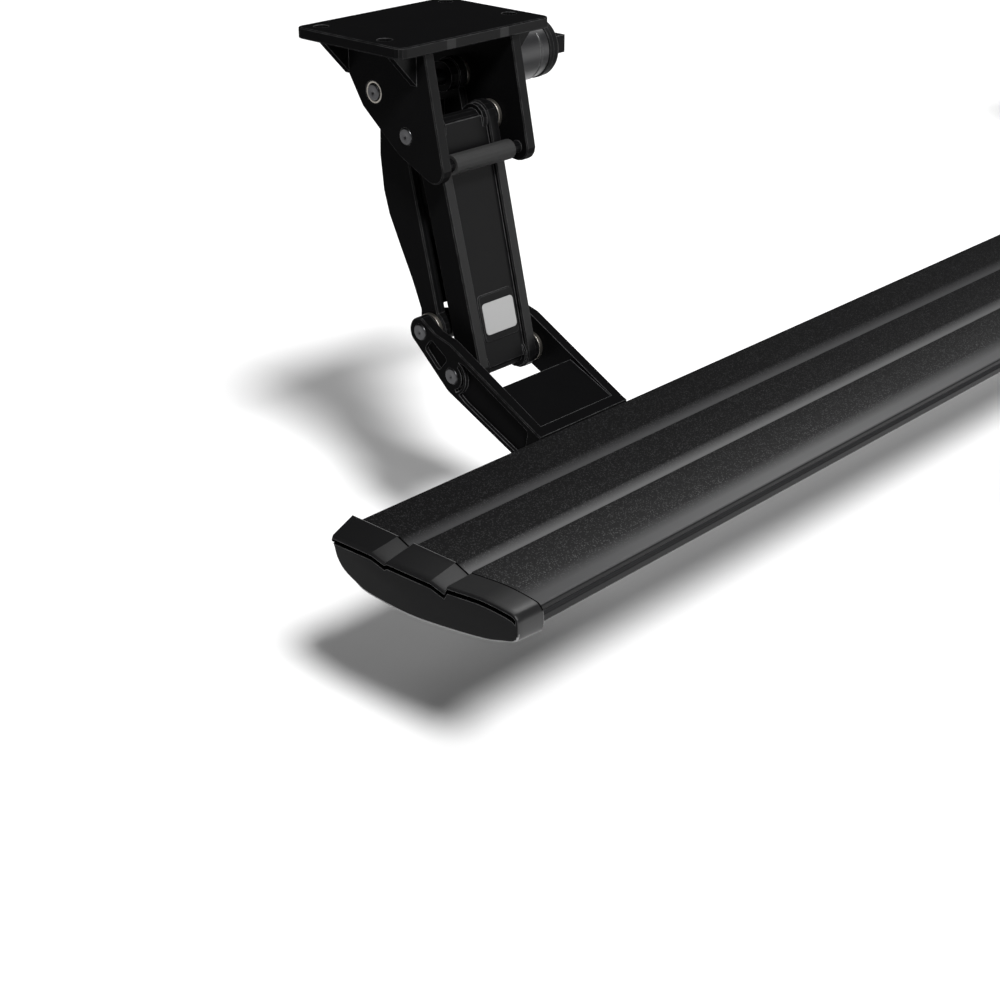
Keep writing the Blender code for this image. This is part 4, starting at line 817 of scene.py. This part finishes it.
def cutBy(mesh, cutterMesh):
    body, cutter = newObject("cutBody", mesh), newObject("cutterBody", cutterMesh)
    modifier = body.modifiers.new("cut", "BOOLEAN")
    modifier.operation = "DIFFERENCE"
    modifier.solver = "EXACT"
    modifier.object = cutter
    result = evaluatedMesh(body)
    bpy.data.objects.remove(body)
    bpy.data.objects.remove(cutter)
    return result


# Faces of the cap: 0 plain, 1 in the groove or the joint, painted near-black as shade, 2 the rims,
# painted pale as highlights
def capFaceKinds(mesh, look):
    kinds = []
    length, edge, step = look["length"], look["edge"], look["tread"] + look["band"]
    belowFrom, belowTo = length - edge * 0.95, length - 0.00004
    for polygon in mesh.polygons:
        kind = polygon.material_index
        x, y, z = polygon.center
        along = -x / (1 + look["sweep"] / length * y / look["width"])
        onTread = y > -2 * step and -y % step < look["tread"]
        reach = look["rimEdge"] + look["fit"] if onTread else look["joint"]
        joint = along < reach and polygon.normal.z > 0.25 and z > look["topAbove"]
        below = belowFrom < along < belowTo and polygon.normal.z < -0.1
        if kind == 0 and (joint or below):
            kind = 2 if below or onTread else 1
        kinds.append(kind)
    return kinds


# The lines where each flat turns down into its ramp stay crisp
def markRampLines(mesh, look):
    lines = (-look["tread"], -2 * look["tread"] - look["band"])
    sharp = mesh.attributes.get("sharp_edge")
    sharp = sharp or mesh.attributes.new("sharp_edge", "BOOLEAN", "EDGE")
    for edge in mesh.edges:
        ends = [mesh.vertices[index].co for index in edge.vertices]
        for line in lines:
            if all(abs(end.y - line) < 0.0002 and end.z > look["topAbove"] for end in ends):
                sharp.data[edge.index].value = True


def makeEndCaps(look):
    body, groove = capMesh(look), capGroove(look)
    coats = [made["blackPlastic"], made["paintedGapShade"], made["paintedHighlightRim"]]
    for mesh in (body, groove):
        for coat in coats:
            mesh.materials.append(coat)
    # Groove faces take the painted shade
    for polygon in groove.polygons:
        polygon.material_index = 1
    mesh = cutBy(body, groove)
    kinds = capFaceKinds(mesh, look)
    shadeByAngle(mesh, look["sharpAngle"])
    markRampLines(mesh, look)
    for node, (endX, way) in look["ends"].items():
        copy = mesh.copy()
        place = Matrix.Translation((endX, *look["boardEdge"]))
        copy.transform(place @ Matrix.Diagonal((way, 1, 1, 1)))
        if way < 0:
            copy.flip_normals()
        addPiece("cap_" + node.split("_")[-1], copy, "black_plastic", "step", [node])
        for coat in coats[1:]:
            copy.materials.append(coat)
        for polygon, kind in zip(copy.polygons, kinds):
            polygon.material_index = kind


makeEndCaps(endCaps)
print("end caps made")


# Pivot pins, ground rod with a chamfer and a centre hole in each end
pivotPins = {
    "radius": 0.006,
    "chamfer": 0.0008,
    "centreHole": 0.0013,
    "centreDepth": 0.0010,
    "steps": 56,
}


def pinEnd(look, x, way):
    radius, chamfer, hole = look["radius"], look["chamfer"], look["centreHole"]
    return [(0.0, x - way * look["centreDepth"]), (hole, x - way * 0.0001), (hole + 0.0002, x),
            (radius - chamfer, x), (radius - chamfer * 0.8, x - way * chamfer * 0.05),
            (radius - chamfer * 0.2, x - way * chamfer * 0.6), (radius, x - way * chamfer)]


def makePins(look):
    groups = {
        "step": sorted(name for name in frame["nodes"] if name.startswith("pin_lower")),
        "mounts": sorted(name for name in frame["nodes"] if name.startswith("pin_upper")),
        "front_inner_arm": ["drive_shaft"],
    }
    for body, names in groups.items():
        low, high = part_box(names[0])
        half = (high.x - low.x) / 2
        profile = pinEnd(look, -half, -1) + pinEnd(look, half, 1)[::-1]
        source = turnedMesh("pin", profile, look["steps"])
        shadeByAngle(source)
        spots = [(spanOf(name)[1], straight) for name in names]
        addCopies("pins_" + body, source, spots, "steel", body, names)


makePins(pivotPins)
print("pins made")


# Flanged bushes in the arms' barrels and round the drive shaft
bushes = {
    "bore": 0.0063,
    "wall": 0.0017,
    "flangeRadius": 0.0115,
    "flange": 0.0034,
    "edge": 0.0003,
    "steps": 48,
}


def bushMesh(look, sleeve, flange):
    bore, edge, radius = look["bore"], look["edge"], look["flangeRadius"]
    outer = bore + look["wall"]
    profile = [(bore, -sleeve + edge), (bore + edge, -sleeve), (outer - edge, -sleeve),
               (outer, -sleeve + edge), (outer, 0.0), (radius - edge, 0.0), (radius, edge),
               (radius, flange - edge), (radius - edge, flange), (bore + edge, flange),
               (bore, flange - edge)]
    mesh = turnedMesh("bush", profile, look["steps"], closed=True)
    shadeByAngle(mesh)
    return mesh


def makeBushes(look):
    for body, nodes in frame["record"]["behaviour"]["bodies"].items():
        names = sorted(name for name in nodes if "bush" in name)
        if not names:
            continue
        low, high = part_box(names[0])
        flange = look["flange"]
        sleeve = high.x - low.x - flange
        spots = []
        for name in names:
            low, middle, high = spanOf(name)
            outward = name.endswith("_b") != name.startswith("shaft")
            x, turn = (high.x - flange, 0.0) if outward else (low.x + flange, math.pi)
            spots.append((Vector((x, middle.y, middle.z)), (0.0, 0.0, turn)))
        source = bushMesh(look, sleeve, flange)
        addCopies("bushes_" + body, source, spots, "bronze", body, names)


makeBushes(bushes)
print("bushes made")


# Flanged hexagon bolts that clamp the step brackets to the strips in the board's slots
bracketBolts = {
    "shankRadius": 0.004,
    "pitch": 0.00125,
    "threadDepth": 0.0006,
    "threadCrest": 0.0002,
    "threadRoot": 0.0007,
    "tip": 0.0008,
    "bareShank": 0.0030,
    "flangeRadius": 0.0085,
    "flangeHeight": 0.0014,
    "hexRadius": 0.0074,
    "height": 0.0050,
    "steps": 48,
    "sharpAngle": 28,
}


# Six flats, whose corners reach the radius
def hexRing(radius, x, steps):
    flat = radius * math.cos(math.pi / 6)
    ring = []
    for step in range(steps):
        angle = 2 * math.pi * step / steps
        offset = (angle % (math.pi / 3)) - math.pi / 6
        reach = flat / math.cos(offset)
        ring.append((x, reach * math.cos(angle), reach * math.sin(angle)))
    return ring


def roundRing(radius, x, steps):
    turns = [2 * math.pi * step / steps for step in range(steps)]
    return [(x, radius * math.cos(angle), radius * math.sin(angle)) for angle in turns]


def boltMesh(look, length):
    steps, top = look["steps"], look["height"]
    shank, root = look["shankRadius"], look["shankRadius"] - look["threadDepth"]
    corner, flat = look["hexRadius"], look["hexRadius"] * math.cos(math.pi / 6)
    flange, flangeTop = look["flangeRadius"], look["flangeHeight"]
    rounds = [(root, -length), (shank, -length + look["threadDepth"])]
    for turn in range(int((length - look["bareShank"]) / look["pitch"])):
        start = -length + look["tip"] + turn * look["pitch"]
        rounds += [(shank, start + look["threadCrest"]), (root, start + look["threadRoot"])]
    rounds += [(shank, -0.0012), (shank, 0.0), (flange - 0.0002, 0.0), (flange, 0.0003),
               (flange - 0.0004, flangeTop * 0.8)]
    rings = [roundRing(radius, x, steps) for radius, x in rounds]
    rings += [hexRing(corner, flangeTop + 0.0001, steps), hexRing(corner, top - 0.0007, steps)]
    rings += [roundRing(flat, top - 0.0001, steps), roundRing(flat - 0.0012, top, steps)]
    mesh = loftedMesh("bolt", rings)
    shadeByAngle(mesh, look["sharpAngle"])
    return mesh


def makeBolts(look):
    names = sorted(name for name in frame["nodes"] if name.startswith("bracket_bolt"))
    low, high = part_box(names[0])
    source = boltMesh(look, high.z - low.z - look["height"])
    downward = (0.0, math.pi / 2, 0.0)
    spots = []
    for name in names:
        low, middle, _ = spanOf(name)
        spots.append((Vector((middle.x, middle.y, low.z + look["height"])), downward))
    addCopies("bracket_bolts", source, spots, "zinc", "step", names)


makeBolts(bracketBolts)
print("bolts made")


# Small socket screws in the near cheeks' top rims, one to a step bracket.
# The heights are those of the foot, the shoulder, the top and the socket's floor.
rimScrews = {
    "places": ((-0.0405, -0.0545, -0.21295), (1.4155, -0.0545, -0.21295)),
    "tilt": -28.0,
    "radius": 0.0021,
    "topShare": 0.86,
    "socket": 0.0011,
    "heights": (-0.0010, 0.00048, 0.0008, 0.00016),
    "steps": 30,
}


def screwMesh(name, look):
    radius, socket, steps = look["radius"], look["socket"], look["steps"]
    foot, shoulder, top, floor = look["heights"]
    rings = [roundRing(radius, foot, steps), roundRing(radius, shoulder, steps),
             roundRing(radius * look["topShare"], top, steps), hexRing(socket, top, steps),
             hexRing(socket, floor, steps)]
    mesh = loftedMesh(name, rings)
    shadeByAngle(mesh)
    return mesh


def makeRimScrews(look):
    source = screwMesh("rimScrew", look)
    upward = (math.radians(look["tilt"]), -math.pi / 2, 0.0)
    spots = [(place, upward) for place in look["places"]]
    addCopies("rim_screws", source, spots, "steel", "step")


makeRimScrews(rimScrews)
print("rim screws made")


# Blank plates on the raised pads of the two outer arms
padPlates = {
    "lean": 14.0,
    "pivot": (-0.0250, -0.0690),
    "armLength": 0.175,
    "alongArm": 0.0335,
    "front": 0.01110,
    "width": 0.0325,
    "height": 0.0235,
    "corner": 0.0030,
    "thickness": 0.0005,
    "linkages": {"front_outer_arm": 0.0, "rear_outer_arm": 1.456},
}


def plateRing(look, depth, inset):
    halfX = look["width"] / 2 - inset
    halfZ = look["height"] / 2 - inset
    corner = look["corner"] - inset
    ring = []
    for quarter, (wayX, wayZ) in enumerate(((1, 1), (-1, 1), (-1, -1), (1, -1))):
        for step in range(7):
            angle = math.pi / 2 * (quarter + step / 6)
            ring.append((wayX * (halfX - corner) + corner * math.cos(angle), -depth,
                         wayZ * (halfZ - corner) + corner * math.sin(angle)))
    return ring


def makePadPlates(look):
    thick = look["thickness"]
    rings = [plateRing(look, 0.0, 0.0), plateRing(look, thick * 0.7, 0.0),
             plateRing(look, thick, thick * 0.3)]
    source = loftedMesh("padPlate", rings)
    shadeByAngle(source)
    lean = Matrix.Rotation(-math.radians(look["lean"]), 4, "X")
    for body, x in look["linkages"].items():
        copy = source.copy()
        place = Matrix.Translation((x, *look["pivot"])) @ lean
        drop = Matrix.Translation((0.0, -look["front"], -look["armLength"] + look["alongArm"]))
        copy.transform(place @ drop)
        addPiece("pad_plate_" + body.split("_")[0], copy, "steel", body,
                 finish=made["paleLabel"])


makePadPlates(padPlates)
print("pad plates made")


# Gear motor on the front linkage: a painted can with two grooves, and a moulded end cover
gearMotor = {
    "radius": 0.0240,
    "grooves": (0.0100, 0.0116),
    "grooveDepth": 0.0004,
    "steps": 72,
    "sharpAngle": 24,
}


# Profiles of (radius, x) points between the two ends
def canProfile(look, start, end):
    radius, (grooveFrom, grooveTo) = look["radius"], look["grooves"]
    low, slope = radius - look["grooveDepth"], look["grooveDepth"]
    return [(0.0, start), (radius - 0.0015, start), (radius - 0.0007, start + 0.0003),
            (radius, start + 0.0015), (radius, start + grooveFrom),
            (low, start + grooveFrom + slope), (low, start + grooveTo - slope),
            (radius, start + grooveTo), (radius, end - grooveTo), (low, end - grooveTo + slope),
            (low, end - grooveFrom - slope), (radius, end - grooveFrom), (radius, end - 0.0086),
            (radius - 0.0008, end - 0.0078), (radius - 0.0010, end - 0.0004),
            (radius - 0.0014, end), (0.0, end)]


def coverProfile(look, start, end):
    radius = look["radius"]
    return [(0.0, start), (radius - 0.0004, start), (radius, start + 0.0004),
            (radius, start + 0.0040), (radius - 0.0005, start + 0.0045),
            (radius - 0.0005, end - 0.0030), (radius - 0.0014, end - 0.0012),
            (radius - 0.0032, end - 0.0002), (radius - 0.0040, end),
            (0.0130, end), (0.0124, end - 0.0006), (0.0, end - 0.0006)]


def motorLathe(look, name, node, profile):
    low, middle, high = spanOf(node)
    mesh = turnedMesh(name, profile(look, low.x - middle.x, high.x - middle.x), look["steps"])
    mesh.transform(Matrix.Translation(middle))
    shadeByAngle(mesh, look["sharpAngle"])
    return mesh


def makeMotorBody(look):
    can = motorLathe(look, "motorCan", "motor_can", canProfile)
    addPiece("motor_body", can, "motor_paint", "mounts", ["motor_can"])
    cover = motorLathe(look, "motorCover", "motor_end_cover", coverProfile)
    addPiece("motor_cover", cover, "black_plastic", "mounts", ["motor_end_cover"])


makeMotorBody(gearMotor)


# Where a copy stands on a circle round the motor's axis
def onCircle(x, axis, radius, angle):
    return Vector((x, axis.y + radius * math.cos(angle), axis.z + radius * math.sin(angle)))


# Socket screws through the end cover, which seat a little under its face
coverScrews = {
    "count": 4,
    "circle": 0.0172,
    "sunk": 0.0006,
    "radius": 0.0022,
    "topShare": 0.88,
    "socket": 0.0011,
    "heights": (-0.0016, 0.0004, 0.0009, 0.0002),
    "steps": 30,
}


def makeCoverScrews(look):
    _, middle, high = spanOf("motor_end_cover")
    spots = []
    for screw in range(look["count"]):
        angle = 2 * math.pi * (screw + 0.5) / look["count"]
        place = onCircle(high.x - look["sunk"], middle, look["circle"], angle)
        spots.append((place, straight))
    source = screwMesh("coverScrew", look)
    addCopies("motor_cover_screws", source, spots, "zinc", "mounts")


makeCoverScrews(coverScrews)


# Cooling ribs round the gearbox. The ends are set back from the housing's two ends.
gearboxRibs = {
    "count": 16,
    "height": 0.0014,
    "width": 0.0016,
    "sunk": 0.0010,
    "crown": 0.0002,
    "circle": 0.0255,
    "ends": (0.0130, 0.0082),
    "slope": 0.0012,
}


def makeGearboxRibs(look):
    low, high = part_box("gearbox_housing")
    axis = spanOf("motor_can")[1]
    start, end = low.x + look["ends"][0], high.x - look["ends"][1]
    middle = (start + end) / 2
    half, tall, slope, sunk = look["width"] / 2, look["height"], look["slope"], look["sunk"]
    rings = []
    for along, lift in ((start, 0.0), (start + slope, tall), (end - slope, tall), (end, 0.0)):
        x = along - middle
        rings.append([(x, -half, -sunk), (x, half, -sunk), (x, half * 0.8, lift),
                      (x, 0.0, lift + look["crown"]), (x, -half * 0.8, lift)])
    source = loftedMesh("gearboxRib", rings)
    shadeByAngle(source)
    spots = []
    for rib in range(look["count"]):
        angle = 2 * math.pi * (rib + 0.5) / look["count"]
        place = onCircle(middle, axis, look["circle"], angle)
        spots.append((place, (angle - math.pi / 2, 0.0, 0.0)))
    addCopies("gearbox_ribs", source, spots, "grey_casting", "mounts")


makeGearboxRibs(gearboxRibs)
print("motor made")


# Floor and light. A panel has a place, an aim, a size and a power.
studio = {
    "floorZ": -0.42,
    "floorSize": 30.0,
    "floorColour": 0.88,
    "floorLift": 0.02,
    "sky": 0.05,
    "keyFrom": (-0.30, -0.60, 0.742),
    "keyAngle": 12.0,
    "keyStrength": 4.5,
    "panels": {
        "farPanel": ((2.41, 0.245, 2.0), (0.1, -0.25, -0.27), (2.0, 1.7), 28.0),
        "topPanel": ((0.485, -0.08, 1.15), (-0.235, -0.24, -0.26), (0.8, 0.8), 3.0),
        "sidePanel": ((1.9, -2.2, 0.15), (-0.1, -0.1, -0.1), (1.2, 1.2), 8.0),
    },
}


# One for a ray of the kinds named, and zero for any other
def rayOf(tree, *kinds):
    paths = tree.nodes.new("ShaderNodeLightPath")
    seen = paths.outputs[kinds[0]]
    for kind in kinds[1:]:
        seen = mathNode(tree, "MAXIMUM", seen, paths.outputs[kind])
    return seen


def makeFloor(settings):
    half = settings["floorSize"] / 2
    mesh = bpy.data.meshes.new("floor")
    corners = [(-half, -half), (half, -half), (half, half), (-half, half)]
    mesh.from_pydata([(x, y, settings["floorZ"]) for x, y in corners], [], [(0, 1, 2, 3)])
    floor = newObject("floor", mesh)
    material, tree = newTree("paleFloor")
    output = tree.nodes.new("ShaderNodeOutputMaterial")
    colour = (settings["floorColour"],) * 3
    diffuse = addNode(tree, "ShaderNodeBsdfDiffuse", Color=(*colour, 1.0))
    lift = tree.nodes.new("ShaderNodeEmission")
    seen = rayOf(tree, "Is Camera Ray", "Is Glossy Ray", "Is Transmission Ray")
    strength = mathNode(tree, "MULTIPLY", seen, settings["floorLift"])
    link(tree, strength, lift.inputs["Strength"])
    both = tree.nodes.new("ShaderNodeAddShader")
    link(tree, diffuse.outputs[0], both.inputs[0])
    link(tree, lift.outputs[0], both.inputs[1])
    link(tree, both.outputs[0], output.inputs["Surface"])
    mesh.materials.append(material)


def makeSky(settings):
    world = bpy.data.worlds.new("studioSky")
    bpy.context.scene.world = world
    world.use_nodes = True
    tree = world.node_tree
    tree.nodes.clear()
    output = tree.nodes.new("ShaderNodeOutputWorld")
    seen = rayOf(tree, "Is Camera Ray", "Is Transmission Ray")
    white = addNode(tree, "ShaderNodeBackground", Color=(1, 1, 1, 1), Strength=1.0)
    grey = addNode(tree, "ShaderNodeBackground", Color=(1, 1, 1, 1), Strength=settings["sky"])
    mix = tree.nodes.new("ShaderNodeMixShader")
    link(tree, seen, mix.inputs[0])
    link(tree, grey.outputs[0], mix.inputs[1])
    link(tree, white.outputs[0], mix.inputs[2])
    link(tree, mix.outputs[0], output.inputs["Surface"])


def makeLamp(name, place, aim, size, power):
    data = bpy.data.lights.new(name, "AREA")
    data.shape = "RECTANGLE"
    data.size, data.size_y = size
    data.energy = power
    lamp = newObject(name, data)
    lamp.location = place
    direction = Vector(aim) - Vector(place)
    lamp.rotation_euler = direction.to_track_quat("-Z", "Y").to_euler()


def makeKey(settings):
    data = bpy.data.lights.new("keyLight", "SUN")
    data.energy = settings["keyStrength"]
    data.angle = math.radians(settings["keyAngle"])
    lamp = newObject("keyLight", data)
    lamp.rotation_euler = (-Vector(settings["keyFrom"])).to_track_quat("-Z", "Y").to_euler()


makeFloor(studio)
makeSky(studio)
makeKey(studio)
for panelName, (place, aim, size, power) in studio["panels"].items():
    makeLamp(panelName, place, aim, size, power)
print("studio made")
